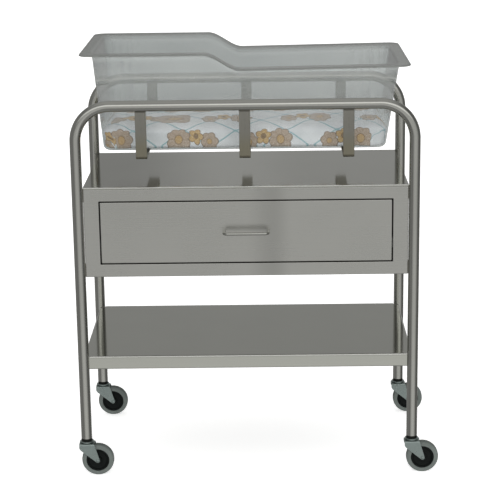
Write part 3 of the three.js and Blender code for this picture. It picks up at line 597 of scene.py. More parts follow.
def clear_plastic():
    """Clear moulded plastic: a light haze face on, thicker up the walls and greyer where seen aslant.

    The rim attribute says how much of a point is painted dark edge, flange, and painted highlight line under
    the flange.
    Faint upright streaks near the tub's corners are painted reflections of the curved corners.
    """
    material, tree, shader = new_finish("clear_plastic", Roughness=0.07, IOR=1.49)
    where = place_vector(tree)
    along, _, height = coordinates(tree, where)
    # Rim marks: painted shade along the flange's edge and the bottom, the flange, and a painted highlight
    # line under it
    edge, flange, painted_glint = coordinates(tree, place_vector(tree, "rim"))
    facing = tree.nodes.new("ShaderNodeLayerWeight")
    facing.inputs["Blend"].default_value = 0.5
    grazing = Field(tree, facing.outputs["Facing"]).ramp(0.50, 0.98)
    haze = cloud(tree, where, 9.0, 4.0)
    face_on = blended(tree, haze.ramp(*CLOUD_RANGE), (0.35, 0.37, 0.365), (0.42, 0.44, 0.43))
    # Painted highlight: a lighter band just under the shoulder
    face_on = blended(tree, painted_glint, face_on, (0.60, 0.63, 0.62))
    aslant = blended(tree, grazing, face_on, (0.22, 0.226, 0.218))
    on_flange = blended(tree, flange * 0.8, aslant, (0.186, 0.197, 0.183))
    # Painted shade: a dark line along the flange's edge and along the bottom
    tree.links.new(blended(tree, edge, on_flange, (0.105, 0.108, 0.103)), shader.inputs["Base Color"])
    # Haze thicker up the walls from the mattress's top: painted shade that darkens the mattress's top behind
    # the plastic
    painted_upper_shade = height.ramp(TUB_FLOOR_Z + 0.045, TUB_FLOOR_Z + 0.080)
    # Painted reflection: faint upright streaks of the curved corners
    painted_corner_streaks = cloud(tree, stretched(tree, where, (70.0, 70.0, 4.0)), 1.0, 3.0).ramp(0.45, 0.75)
    by_corner = (along - MIDDLE[0]).step("ABSOLUTE").ramp(0.22, 0.30)
    veil = painted_upper_shade * 0.17 + grazing * (painted_upper_shade * 0.26 + 0.10) + painted_corner_streaks * by_corner * painted_upper_shade * 0.16
    veil = veil + edge * 0.72 + flange * 0.17 + painted_glint * 0.10 + 0.06
    tree.links.new(veil.step("MINIMUM", 0.95).socket, shader.inputs["Alpha"])
    return material


tub_plastic = clear_plastic()

for node in ("runner_bracket", "drawer_channel", "drawer_slide_bar", "pull_screw"):
    for side in ("left", "right"):
        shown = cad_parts[f"{node}_{side}"]
        shown.data.materials.clear()
        shown.data.materials.append(galvanised)


# Hoops

def make_hoop(name, y, node):
    """Round tube up one leg, along the rail and down the other leg."""
    corners = [(-LEG_X, y, TUBE_END_Z), (-LEG_X, y, RAIL_Z), (LEG_X, y, RAIL_Z), (LEG_X, y, TUBE_END_Z)]
    tube = swept(name, circle(TUBE_RADIUS, 48), corners, HOOP_BEND, (0, 1, 0))
    dress(tube, tube_steel, "frame", "satin_tube", node)


for end, y in ENDS_Y:
    make_hoop(f"{end}_hoop_tube", y, f"{end}_hoop")


# Cradle straps and weld beads

def make_strap(label, x):
    """Flat bar from the underside of one rail, down, across under the tub and up to the other rail."""
    top, run_z = RAIL_Z - TUBE_RADIUS - SEAT, STRAP_TOP_Z - STRAP_THICKNESS / 2
    corners = [(x, -LEG_Y, top), (x, -LEG_Y, run_z), (x, LEG_Y, run_z), (x, LEG_Y, top)]
    edge, margin, chamfer = 0.0007, 0.0004, 0.0002
    section = rounded_rectangle(STRAP_WIDTH / 2, STRAP_THICKNESS / 2, edge, 3, margin)
    bar = swept(f"cradle_strap_{label}_bar", section, corners, STRAP_BEND, (1, 0, 0), chamfer)
    dress(bar, strap_steel, "frame", "strap_steel", f"cradle_strap_{label}")


def make_weld(name, start, stop, radius, ripples):
    """Weld bead: a circle carried along a line, swelling in ripples and closing at both ends.

    Its radius goes as a cosine along the line, times the root of one less a sixth power, which closes it.
    """
    start, stop = np.asarray(start, float), np.asarray(stop, float)
    along = stop - start
    length = np.linalg.norm(along)
    along /= length
    upright = abs(along[2]) > 0.9
    across = np.cross(along, (0, 1, 0) if upright else (0, 0, 1))
    across /= np.linalg.norm(across)
    beside = np.cross(along, across)
    t = np.linspace(0, 1, 8 * ripples + 1)
    ends = np.sqrt(np.clip(1 - (2 * t - 1) ** 6, 0.01, 1))
    swell = radius * ends * (1 + 0.16 * np.cos(2 * np.pi * ripples * t))
    ring = circle(1.0, 12)
    spokes = ring[:, :1] * across + ring[:, 1:] * beside
    grid = start + t[:, None, None] * length * along + swell[:, None, None] * spokes[None]
    return surface(name, grid)


BEAD_SINK = 0.0006
STRAP_BEAD = 0.0016
STRAP_BEAD_Z = RAIL_Z - TUBE_RADIUS - BEAD_SINK
CABINET_BEAD = 0.0015
CABINET_BEAD_X = CABINET_X - 0.0002
BEAD_START, BEAD_STOP = 0.001, 0.034
CABINET_BEADS_Z = (
    ("upper", DECK_Z - BEAD_STOP, DECK_Z - BEAD_START),
    ("lower", CABINET_BOTTOM_Z + BEAD_START, CABINET_BOTTOM_Z + BEAD_STOP),
)

for label, x in (("left", -STRAP_SPACING), ("middle", 0.0), ("right", STRAP_SPACING)):
    make_strap(label, x)
    from_x, to_x = x - STRAP_WIDTH / 2, x + STRAP_WIDTH / 2
    for end, rail_y in ENDS_Y:
        for face, offset in (("outer", -1), ("inner", 1)):
            y = rail_y + offset * STRAP_THICKNESS / 2
            bead = make_weld(
                f"strap_weld_{label}_{end}_{face}", (from_x, y, STRAP_BEAD_Z), (to_x, y, STRAP_BEAD_Z),
                STRAP_BEAD, 7,
            )
            dress(bead, weld_steel, "frame", "strap_steel")

for label, side in (("left", -1), ("right", 1)):
    x = side * CABINET_BEAD_X
    for end, face_y in ENDS_Y:
        y = face_y - math.copysign(BEAD_SINK, face_y)
        for at, low_z, high_z in CABINET_BEADS_Z:
            bead = make_weld(
                f"cabinet_weld_{end}_{label}_{at}", (x, y, low_z), (x, y, high_z), CABINET_BEAD, 9,
            )
            dress(bead, weld_steel, "frame", "brushed_steel")


# Cabinet

def make_deck():
    """Deck sheet bent down at its front and back: its outline across the depth, carried along its length."""
    outside = softened([
        (-LEG_Y, DECK_Z - DECK_SKIRT),
        (-LEG_Y, DECK_Z),
        (LEG_Y, DECK_Z),
        (LEG_Y, DECK_Z - DECK_SKIRT),
    ], DECK_BEND, 6)
    inside = softened([
        (LEG_Y - SHEET, DECK_Z - DECK_SKIRT),
        (LEG_Y - SHEET, DECK_Z - SHEET),
        (-LEG_Y + SHEET, DECK_Z - SHEET),
        (-LEG_Y + SHEET, DECK_Z - DECK_SKIRT),
    ], DECK_BEND - SHEET, 6)
    margin = 0.003
    flats = np.array([(-LEG_Y + DECK_BEND + margin, DECK_Z), (LEG_Y - DECK_BEND - margin, DECK_Z)])
    outline = np.vstack([outside[:8], flats, outside[8:], inside])
    grid = np.stack([axes_to(outline, x, 0) for x in (-CABINET_X, CABINET_X)])
    # The bends are marked for edge wear and a painted highlight line
    front_bend, back_bend = slice(2, 7), slice(11, 16)
    rubbed_and_highlit = np.zeros(grid.shape)
    rubbed_and_highlit[:, front_bend, 0] = rubbed_and_highlit[:, back_bend, 0] = 1.0
    deck = surface("cabinet_deck", grid, edge=rubbed_and_highlit)
    dress(deck, deck_steel, "frame", "brushed_steel", "cabinet_top")


def make_face_frame():
    """Sheet round the drawer's opening: rings from its outer edge over the front to the opening and back."""
    outer_half = np.array([(SKIRT_Z - CABINET_BOTTOM_Z) / 2, CABINET_X])
    outer_mid = (SKIRT_Z + CABINET_BOTTOM_Z) / 2
    inner_half = np.array([(OPENING_TOP_Z - OPENING_BOTTOM_Z) / 2, OPENING_X])
    inner_mid = (OPENING_TOP_Z + OPENING_BOTTOM_Z) / 2
    fold, support = 0.0012, 0.0015
    outer_corner, inner_corner = 0.0028, 0.0012

    def outer(y, inset):
        flat = rounded_rectangle(*(outer_half - inset), outer_corner - inset)
        return axes_to(flat + (outer_mid, 0), y, 1)

    def inner(y, outset):
        flat = rounded_rectangle(*(inner_half + outset), inner_corner + outset)
        return axes_to(flat + (inner_mid, 0), y, 1)

    front, back = -LEG_Y, -LEG_Y + SHEET
    over_fold = edge_arc(front + fold, fold, -fold, 0, 90)
    rings = [outer(back, 0)]
    rings += [outer(y, 2 * fold - inset) for y, inset in over_fold]
    rings += [outer(front, fold + support), inner(front, fold + support)]
    rings += [inner(y, 2 * fold - inset) for y, inset in over_fold[::-1]]
    rings += [inner(back, 0)]
    face = surface("cabinet_face", np.stack(rings), wrap_rows=True, capped=False)
    dress(face, panel_steel, "frame", "brushed_steel", "cabinet_face_frame")


def make_sheets():
    """Back, bottom and side sheets: flat slabs between the face, the deck and each other."""
    behind_face, before_back = -LEG_Y + SHEET + SEAT, LEG_Y - SHEET - SEAT
    above_bottom, under_deck = CABINET_BOTTOM_Z + SHEET + SEAT, DECK_Z - SHEET - SEAT
    back_low = (-CABINET_X, LEG_Y - SHEET, CABINET_BOTTOM_Z)
    back = slab("cabinet_back_sheet", back_low, (CABINET_X, LEG_Y, SKIRT_Z), 1)
    dress(back, panel_steel, "frame", "brushed_steel", "cabinet_back")
    bottom_low = (-CABINET_X, behind_face, CABINET_BOTTOM_Z)
    bottom_high = (CABINET_X, before_back, CABINET_BOTTOM_Z + SHEET)
    bottom = slab("cabinet_bottom_sheet", bottom_low, bottom_high, 2)
    dress(bottom, panel_steel, "frame", "brushed_steel", "cabinet_bottom")
    for label, x in (("left", -CABINET_X), ("right", CABINET_X - SHEET)):
        low, high = (x, behind_face, above_bottom), (x + SHEET, before_back, under_deck)
        side = slab(f"cabinet_side_sheet_{label}", low, high, 0)
        dress(side, side_steel, "frame", "brushed_steel", f"cabinet_side_{label}")


make_deck()
make_face_frame()
make_sheets()


# Drawer

def make_drawer_front():
    """Folded pan: rings about the Y axis over its face, sides and turned-in returns and back inside."""
    half_z = (OPENING_TOP_Z - OPENING_BOTTOM_Z) / 2 - DRAWER_GAP
    half_x = OPENING_X - DRAWER_GAP
    middle = (0, 0, (OPENING_TOP_Z + OPENING_BOTTOM_Z) / 2)
    front, back = -LEG_Y, -LEG_Y + FRONT_THICKNESS
    edge, support = 0.0014, 0.0015
    corner, least_corner = 0.0022, 0.0004

    def outline(inset):
        return rounded_rectangle(half_z - inset, half_x - inset, max(corner - inset, least_corner))

    profile = np.vstack([
        [(front, edge + support)],
        edge_arc(front + edge, edge, edge, -90, 0),
        edge_arc(back - edge, edge, edge, 0, 90),
        [(back, FRONT_RETURN), (back - SHEET, FRONT_RETURN), (back - SHEET, SHEET), (front + SHEET, SHEET)],
    ])
    pan = surface("drawer_front_pan", ring_stack(outline, profile, 1, middle))
    dress(pan, panel_steel, "drawer", "brushed_steel", "drawer_front")


def make_drawer_box():
    """Open tray: rings up the outside of its walls, over their rounded tops and down inside to its floor."""
    centre = (0, (BOX_FRONT_Y + BOX_BACK_Y) / 2, 0)
    half_y = (BOX_BACK_Y - BOX_FRONT_Y) / 2
    bend, support = 0.002, 0.0015
    corner, least_corner = 0.003, 0.0006

    def outline(inset):
        return rounded_rectangle(BOX_X - inset, half_y - inset, max(corner - inset, least_corner))

    inner, lip = BOX_BOTTOM_Z + BOX_SHEET, BOX_SHEET / 2
    profile = np.vstack([
        [(BOX_BOTTOM_Z, bend + support)],
        edge_arc(BOX_BOTTOM_Z + bend, bend, bend, -90, 0),
        edge_arc(BOX_TOP_Z - lip, lip, lip, 0, 180),
        edge_arc(inner + bend, bend + BOX_SHEET, bend, 0, -90),
        [(inner, bend + BOX_SHEET + support)],
    ])
    box = surface("drawer_tray", ring_stack(outline, profile, 2, centre))
    dress(box, side_steel, "drawer", "brushed_steel", "drawer_box")


def make_pull():
    """Wire pull: a round wire out from the drawer's face, along it and back in."""
    foot, bar, chamfer = -LEG_Y - SEAT, -LEG_Y - PULL_REACH, 0.0003
    corners = [(-PULL_X, foot, PULL_Z), (-PULL_X, bar, PULL_Z), (PULL_X, bar, PULL_Z), (PULL_X, foot, PULL_Z)]
    wire = swept("drawer_pull_wire", circle(PULL_RADIUS, 28), corners, PULL_BEND, (0, 0, 1), chamfer)
    dress(wire, tube_steel, "drawer", "satin_tube", "drawer_pull")


make_drawer_front()
make_drawer_box()
make_pull()


# Lower shelf

def make_shelf():
    """Tray turned upside down: from its top over the bend, down the lip, and up inside to its underside."""
    bend, inner_bend, support = SHELF_BEND, SHELF_BEND - SHEET, 0.002
    under, lip_bottom, hem = SHELF_Z - SHEET, SHELF_Z - SHELF_LIP, SHEET / 2

    def outline(inset):
        """Rectangle whose corners are bitten out by a circle about each leg, anticlockwise."""
        half_x, half_y = SHELF_X - inset, SHELF_Y - inset
        bite = TUBE_RADIUS + SEAT + inset
        on_front = np.arccos((LEG_Y - half_y) / bite)
        on_end = np.arcsin((LEG_X - half_x) / bite)
        turn = np.linspace(np.pi / 2 + on_front, np.pi / 2 + on_end, 9)
        corner = np.stack([LEG_X + bite * np.cos(turn), bite * np.sin(turn) - LEG_Y], axis=1)
        corner = np.vstack([corner[0] - (support, 0), corner, corner[-1] + (0, support)])
        return np.vstack([
            corner,
            (corner * (1, -1))[::-1],
            corner * (-1, -1),
            (corner * (-1, 1))[::-1],
        ])

    profile = np.vstack([
        [(SHELF_Z, bend + support)],
        edge_arc(SHELF_Z - bend, bend, bend, 90, 0),
        [(SHELF_Z - bend - support, 0.0), (lip_bottom + hem + support, 0.0)],
        edge_arc(lip_bottom + hem, hem, hem, 0, -180),
        edge_arc(under - inner_bend, SHEET + inner_bend, inner_bend, 0, 90),
        [(under, SHEET + inner_bend + support)],
    ])
    grid = ring_stack(outline, profile, 2, (0, 0, 0))
    # The bend is marked for edge wear and a painted highlight line, the lip for a painted lighter shade
    bend_rings, lip_rings = slice(2, 5), slice(5, 10)
    rubbed_and_highlit = np.zeros(grid.shape)
    rubbed_and_highlit[bend_rings, :, 0] = 1.0
    rubbed_and_highlit[lip_rings, :, 1] = 1.0
    shelf = surface("lower_shelf_tray", grid, edge=rubbed_and_highlit)
    dress(shelf, shelf_steel, "frame", "brushed_steel", "lower_shelf")


make_shelf()


# Casters

def fork_edges(z):
    """Back and front edge of a fork arm at each height.

    The back goes straight down, round the shoulder's circle and along the tangent to the circle about the
    axle. The front goes from the crown's edge along the tangent to the same circle, and both end round it.
    """
    shoulder = np.array([FORK_BACK + FORK_SHOULDER, FORK_TOP_Z - FORK_SHOULDER])
    axle = np.array([CASTER_TRAIL, WHEEL_RADIUS])
    run = axle - shoulder
    lower = np.arctan2(run[1], run[0]) - np.arccos((FORK_SHOULDER - FORK_END) / np.hypot(*run))
    edge = np.array([FORK_FRONT, FORK_TOP_Z]) - axle
    upper = np.arctan2(edge[1], edge[0]) - np.arccos(FORK_END / np.hypot(*edge))
    bottom = -np.pi / 2

    def arc(centre, radius, start, stop, count):
        angle = np.linspace(start, stop, count)
        return centre + radius * np.stack([np.cos(angle), np.sin(angle)], axis=1)

    back = np.vstack([
        [(FORK_BACK, FORK_TOP_Z)],
        arc(shoulder, FORK_SHOULDER, -np.pi, lower, 24),
        arc(axle, FORK_END, lower, bottom, 24),
    ])
    front = np.vstack([[(FORK_FRONT, FORK_TOP_Z)], arc(axle, FORK_END, upper, bottom, 32)])
    return [np.interp(z, line[::-1, 1], line[::-1, 0]) for line in (back, front)]


def make_fork(label, swivel):
    """Pressed fork: a sheet up one arm, over the crown and down the other, in rows from back to front edge.

    The outer skin is offset by the sheet's thickness along its section to give the inner skin, and both are
    joined round the edge into one closed body.
    """
    tip = 0.00004
    lowest = WHEEL_RADIUS - FORK_END + tip
    straight = FORK_TOP_Z - FORK_BEND
    drop = np.linspace(0, np.pi / 2, 18)
    arm_z = lowest + (straight - lowest) * (1 - np.cos(drop))
    bend = np.radians(np.linspace(10, 90, 8))
    flat_y = FORK_HALF_WIDTH - FORK_BEND

    def skin(inset):
        radius = FORK_BEND - inset
        y = np.concatenate([np.full(len(arm_z), flat_y + radius), flat_y + radius * np.cos(bend)])
        z = np.concatenate([arm_z, straight + radius * np.sin(bend)])
        return np.concatenate([-y, y[::-1]]), np.concatenate([z, z[::-1]])

    outer_y, outer_z = skin(0.0)
    inner_y, inner_z = skin(FORK_SHEET)
    back, front = fork_edges(np.minimum(outer_z, FORK_TOP_Z))
    x = back[:, None] + (front - back)[:, None] * np.linspace(0, 1, 13)
    outer = np.stack(np.broadcast_arrays(x, outer_y[:, None], outer_z[:, None]), axis=-1)
    inner = np.stack(np.broadcast_arrays(x, inner_y[:, None], inner_z[:, None]), axis=-1)
    grid = np.concatenate([outer, inner[:, ::-1]], axis=1)
    fork = surface(f"caster_fork_{label}_pressing", grid + np.array(swivel))
    dress(fork, zinc_plate, f"caster_{label}", "zinc_plate", f"caster_fork_{label}")


def both_sides(half):
    """A profile of (radius, width) from the bore outwards on the -Y side and back inwards on the +Y side."""
    half = np.asarray(half)
    return np.vstack([half * (1, -1), half[::-1]])


# Profiles of (radius, height) about the swivel, from the bottom up
COLLAR_PROFILE = softened([
    (STEM_BORE, COLLAR_BOTTOM_Z),
    (TUBE_RADIUS, COLLAR_BOTTOM_Z),
    (TUBE_RADIUS, COLLAR_TOP_Z),
    (PLUG_RADIUS, COLLAR_TOP_Z),
    (PLUG_RADIUS, COLLAR_TOP_Z + PLUG_LENGTH),
    (STEM_BORE, COLLAR_TOP_Z + PLUG_LENGTH),
], radius=0.0008)
RACE_PROFILE = softened([
    (STEM_TIP, RIVET_BOTTOM_Z),
    (RIVET_RADIUS, RIVET_BOTTOM_Z),
    (RIVET_RADIUS, RIVET_TOP_Z),
    (KINGPIN_RADIUS, RIVET_TOP_Z),
    (KINGPIN_RADIUS, RACE_BOTTOM_Z),
    (RACE_LOWER_RADIUS, RACE_BOTTOM_Z),
    (RACE_LOWER_RADIUS, RACE_LEDGE_Z),
    (RACE_UPPER_RADIUS, RACE_LEDGE_Z),
    (RACE_UPPER_RADIUS, RACE_TOP_Z - 0.0008),
    (RACE_UPPER_RADIUS - 0.0015, RACE_TOP_Z),
    (STEM_RADIUS, RACE_TOP_Z),
    (STEM_RADIUS, RACE_TOP_Z + STEM_LENGTH),
    (STEM_TIP, RACE_TOP_Z + STEM_LENGTH),
], radius=0.0005)

# Profiles of (radius, half width) about the axle: the rivet's heads from the hollow to the seat, the hub from
# its bore over its dished web to its rim, and the tyre from its seat on the hub to its tread
AXLE_PROFILE = both_sides([
    (0.0014, AXLE_END - 0.0008),
    (0.0020, AXLE_END),
    (0.0028, AXLE_END),
    (0.0038, AXLE_END - 0.0007),
    (0.0040, AXLE_SEAT),
    (0.0030, AXLE_SEAT),
])
HUB_PROFILE = softened(both_sides([
    (0.0033, 0.0123), (0.0085, 0.0123), (0.0090, 0.0118), (0.0096, 0.0058), (0.0120, 0.0050),
    (0.0205, 0.0050), (0.0228, 0.0060), (0.0234, 0.0090), (0.0240, 0.0095), (0.0268, 0.0095),
    (0.0271, 0.0090),
]), radius=0.0006, steps=3)
TYRE_PROFILE = softened(both_sides([
    (0.0274, 0.0108), (0.0282, 0.0110), (0.0335, 0.0107), (0.0368, 0.0092), (0.0379, 0.0062),
    (WHEEL_RADIUS, 0.0025),
]), radius=0.0012)


def make_caster(label, x, y):
    """Collar, race, fork, axle, hub and tyre of one caster, turned about the swivel or the axle."""
    swivel, axle = (x, y, 0.0), (x + CASTER_TRAIL, y, WHEEL_RADIUS)
    fork_body, wheel_body = f"caster_{label}", f"wheel_{label}"
    collar = turned(f"caster_collar_{label}", COLLAR_PROFILE, swivel, 2, 40)
    dress(collar, collar_plastic, "frame", "black_plastic", f"caster_socket_{label}")
    race = turned(f"caster_race_{label}", RACE_PROFILE, swivel, 2, 48)
    dress(race, zinc_plate, "frame", "zinc_plate", f"caster_stem_{label}")
    make_fork(label, swivel)
    rivet = turned(f"caster_axle_{label}_rivet", AXLE_PROFILE, axle, 1, 32)
    dress(rivet, zinc_plate, fork_body, "zinc_plate", f"caster_axle_{label}")
    hub = turned(f"caster_hub_{label}_moulding", HUB_PROFILE, axle, 1, 56, closed=True)
    dress(hub, hub_plastic, wheel_body, "black_plastic", f"caster_hub_{label}")
    tyre = turned(f"caster_tyre_{label}_tread", TYRE_PROFILE, axle, 1, 72, closed=True)
    dress(tyre, tyre_rubber, wheel_body, "grey_rubber", f"caster_tyre_{label}")


for end, y in ENDS_Y:
    for side, x in (("left", -LEG_X), ("right", LEG_X)):
        make_caster(f"{end}_{side}", x, y)


# Tub

def smooth_step(x, low, high):
    """Eases from 0 at low to 1 at high as 3t^2 - 2t^3."""
    t = np.clip((x - low) / (high - low), 0, 1)
    return t * t * (3 - 2 * t)


def rim_height(x):
    """Height of the rim: level at the head, eased down over the step, then climbing slightly to the foot."""
    dip = smooth_step(x, RIM_STEP_START, RIM_STEP_END)
    climb = FOOT_RISE * np.maximum(x - RIM_STEP_END, 0) / (RIM_FOOT_X - RIM_STEP_END)
    return HEAD_RIM_Z + (FOOT_RIM_Z - HEAD_RIM_Z) * dip + climb


# Places along the tub's sides and ends where its rings have points, close together over the rim's step
RIM_STATIONS = np.concatenate([
    np.linspace(-0.25, RIM_STEP_START - 0.004, 6),
    np.linspace(RIM_STEP_START, RIM_STEP_END, 25),
    np.linspace(RIM_STEP_END + 0.004, 0.25, 8),
])
END_STATIONS = np.linspace(-0.09, 0.09, 5)


def tub_outline(low, high, half_y, corner, steps=10):
    """Rounded rectangle between two X values, anticlockwise, with stations along its sides and ends."""
    turn = np.linspace(0, np.pi / 2, steps + 1)

    def quarter(x, y, k):
        angle = turn + k * np.pi / 2
        return np.stack([x + corner * np.cos(angle), y + corner * np.sin(angle)], axis=1)

    sides = np.stack([RIM_STATIONS, np.full_like(RIM_STATIONS, -half_y)], axis=1)
    ends = END_STATIONS
    return np.vstack([
        sides,
        quarter(high - corner, corner - half_y, -1),
        np.stack([np.full_like(ends, high), ends], axis=1),
        quarter(high - corner, half_y - corner, 0),
        (sides * (1, -1))[::-1],
        quarter(low + corner, half_y - corner, 1),
        np.stack([np.full_like(ends, low), ends[::-1]], axis=1),
        quarter(low + corner, corner - half_y, 2),
    ])


def wall_outline(z, inset):
    """Outline of the leaning walls at a height, drawn in by an inset."""
    rise = z - TUB_FLOOR_Z
    return tub_outline(
        inset - TUB_FLOOR_X - HEAD_DRAFT * rise / HEAD_WALL,
        TUB_FLOOR_X + FOOT_DRAFT * rise / FOOT_WALL - inset,
        TUB_FLOOR_Y + SIDE_DRAFT * rise / HEAD_WALL - inset,
        TUB_CORNER - inset,
    )


def level_ring(z, inset):
    """The walls' outline as a level ring."""
    flat = wall_outline(z, inset)
    return np.column_stack([flat, np.full(len(flat), z)])


def below_rim(drop, inset):
    """Ring on the walls a given drop under the stepped rim.

    The walls are straight, so each point lies between the outlines at two heights by the share of its own.
    """
    low, high = FOOT_RIM_Z - 0.02, HEAD_RIM_Z
    first, second = wall_outline(low, inset), wall_outline(high, inset)
    z = rim_height(first[:, 0]) - drop
    share = ((z - low) / (high - low))[:, None]
    return np.column_stack([first + (second - first) * share, z])


def rim_ring(drop, inset):
    """Ring along the flange's outer edge, drawn in by an inset."""
    flat = tub_outline(RIM_HEAD_X + inset, RIM_FOOT_X - inset, RIM_Y - inset, RIM_CORNER - inset)
    return np.column_stack([flat, rim_height(flat[:, 0]) - drop])


def make_tub():
    """Tub as rings: floor, fillet, wall, shoulder and flange outside, round the rim and back down inside.

    Its rim attribute marks the painted dark edge of the flange and the painted shade line along the bottom in
    X, the flange and its shoulder in Y, and the painted highlight line under the shoulder in Z.
    """
    turns = 9
    quarter, half_turn = np.linspace(0, np.pi / 2, turns), np.linspace(0, np.pi, turns)
    lift, reach = 1 - np.cos(quarter), 1 - np.sin(quarter)
    inner_fillet, inner_floor = TUB_FILLET - TUB_WALL, TUB_FLOOR_Z + TUB_WALL
    shoulder_in, shoulder_up = TUB_SHOULDER * lift, TUB_SHOULDER * reach
    floor_inset, flange_inset = TUB_FILLET + 0.004, FLANGE / 2 + 0.002
    low_wall, high_wall = TUB_FLOOR_Z + 0.060, TUB_FLOOR_Z + 0.140
    under_shoulder, painted_glint_depth = TUB_SHOULDER + 0.003, 0.011
    rings = [level_ring(TUB_FLOOR_Z, floor_inset)]
    rings += [level_ring(TUB_FLOOR_Z + TUB_FILLET * a, TUB_FILLET * b) for a, b in zip(lift, reach)]
    rings += [level_ring(low_wall, 0.0), level_ring(high_wall, 0.0)]
    rings += [below_rim(FLANGE + under_shoulder + painted_glint_depth, 0.0)]
    painted_glint = len(rings)
    rings += [below_rim(FLANGE + under_shoulder, 0.0)]
    rings += [below_rim(FLANGE + b, -a) for a, b in zip(shoulder_in, shoulder_up)]
    first_flat = len(rings) - 1
    rings += [rim_ring(FLANGE, flange_inset)]
    first_edge = len(rings)
    rings += [rim_ring(FLANGE / 2 * (1 + np.cos(a)), FLANGE / 2 * (1 - np.sin(a))) for a in half_turn]
    rings += [rim_ring(0.0, flange_inset)]
    last_flat = len(rings)
    rings += [below_rim(b, TUB_WALL - a) for a, b in zip(shoulder_in[::-1], shoulder_up[::-1])]
    rings += [below_rim(under_shoulder, TUB_WALL)]
    rings += [level_ring(high_wall, TUB_WALL), level_ring(low_wall, TUB_WALL)]
    rings += [
        level_ring(inner_floor + inner_fillet * a, TUB_WALL + inner_fillet * b)
        for a, b in zip(lift[::-1], reach[::-1])
    ]
    rings += [level_ring(inner_floor, floor_inset)]
    grid = np.stack(rings) + TUB_OFFSET
    # Painted shade on the flange's edge and the bottom line, and a painted highlight band under the shoulder
    rim, shaded_bottom_line = np.zeros(grid.shape), slice(1, 5)
    rim[first_edge:first_edge + turns, :, 0] = 0.6
    rim[shaded_bottom_line, :, 0] = np.abs(grid[shaded_bottom_line, :, 0]) < TUB_FLOOR_X - TUB_CORNER
    rim[first_flat - turns + 1:last_flat + turns, :, 1] = 0.6
    rim[first_flat:last_flat + 1, :, 1] = 1.0
    rim[painted_glint:painted_glint + 3, :, 2] = 1.0
    tub = surface("tub_shell", grid, sharp=60, rim=rim)
    tub.visible_glossy = False
    dress(tub, tub_plastic, "tub", "clear_plastic", "tub")


make_tub()


# Mattress

def pad_form():
    """Pad before it settles: the tub's outlines grown by a little, from a flat underside to a crowned top.

    The crown is a parabola across the pad that dies away over a short rise at each end. The sides are drawn
    in between the corners by the square of a cosine along them.
    """
    inset = TUB_WALL - PAD_PRESS
    bottom, top = PAD_BOTTOM_Z + 0.001, PAD_TOP_Z
    lower, upper = TUB_FILLET - TUB_WALL, PAD_ROUND
    quarter = np.linspace(0, np.pi / 2, 6)
    rings = [level_ring(bottom + lower * (1 - np.cos(a)), inset + lower * (1 - np.sin(a))) for a in quarter]
    rings += [level_ring(top - upper * (1 - np.sin(a)), inset + upper * (1 - np.cos(a))) for a in quarter]
    top_ring = rings[-1]
    half_x, half_y = np.abs(top_ring[:, :2]).max(axis=0)
    share = np.linspace(1.0, 0.06, 16)[1:, None, None]
    crown = top_ring * (share ** [1, 1, 0])
    to_side = np.clip(np.abs(crown[..., 1]) / half_y, 0, 1)
    to_end = np.clip(1 - (half_x - np.abs(crown[..., 0])) / PAD_END_RISE, 0, 1)
    crown[..., 2] += PAD_CROWN * (1 - to_side ** 2) * (1 - to_end ** 2)
    grid = np.concatenate([np.stack(rings), crown])
    drawn = np.cos(np.pi / 2 * np.clip(grid[..., 0] / PAD_X, -1, 1)) ** 2
    grid[..., 1] *= 1 - PAD_PULL_IN * drawn / PAD_Y
    return surface("mattress_pad", grid + TUB_OFFSET)


def in_voxels(piece, size):
    """Replaces the piece's mesh by an even voxel remesh of it."""
    remesh = piece.modifiers.new("even", "REMESH")
    remesh.mode = "VOXEL"
    remesh.voxel_size = size
    graph = bpy.context.evaluated_depsgraph_get()
    even = bpy.data.meshes.new_from_object(piece.evaluated_get(graph))
    piece.modifiers.clear()
    piece.data = even


def vertex_places(mesh):
    """All vertices of a mesh as an array."""
    flat = np.empty(len(mesh.vertices) * 3, np.float32)
    mesh.vertices.foreach_get("co", flat)
    return flat.reshape(-1, 3).astype(float)


def swell(piece, pressure, limit):
    """Blows the pad up as cloth under inner pressure, and lets no point go further than a limit."""
    before = vertex_places(piece.data)
    cloth = piece.modifiers.new("cover", "CLOTH")
    cloth.settings.use_pressure = True
    cloth.settings.uniform_pressure_force = pressure
    cloth.settings.effector_weights.gravity = 0.0
    cloth.settings.quality = 4
    scene = bpy.context.scene
    for step in range(1, PAD_FRAMES + 1):
        scene.frame_set(step)
    graph = bpy.context.evaluated_depsgraph_get()
    blown = piece.evaluated_get(graph).to_mesh()
    moved = vertex_places(blown) - before
    piece.evaluated_get(graph).to_mesh_clear()
    piece.modifiers.clear()
    scene.frame_set(1)
    length = np.linalg.norm(moved, axis=1, keepdims=True)
    moved *= np.minimum(1, limit / np.maximum(length, 1e-9))
    return before + moved


def puckered(places):
    """Small gathers of the cover, in height.

    Waves of two lengths follow the upper edge and die away from it as a bell curve, and a product of slow
    sines makes the top softly uneven.
    """
    x, y, z = (places - TUB_MIDDLE).T
    edge_z, edge_width = PAD_TOP_Z - 0.004, 0.012
    gather, unevenness = 0.0006, 0.0008
    short_wave, long_wave = 2 * np.pi / 0.041, 2 * np.pi / 0.067
    side = np.maximum(np.abs(x) - (PAD_X - edge_width), np.abs(y) - (PAD_Y - edge_width))
    near = np.exp(-((z - edge_z) / 0.010) ** 2 - (np.minimum(side, 0) / 0.020) ** 2)
    waves = np.sin(short_wave * (x + y) + 1.3 * np.sin(9 * x)) + 0.6 * np.sin(long_wave * (x - y) + 0.8)
    broad = np.sin(17 * x + 2 * np.sin(11 * y)) * np.cos(23 * y + 1.5 * np.sin(7 * x))
    upper = smooth_step(z, edge_z - 0.010, edge_z + 0.006)
    lift = gather * near * waves + unevenness * broad * upper
    return places + lift[:, None] * (0, 0, 1)


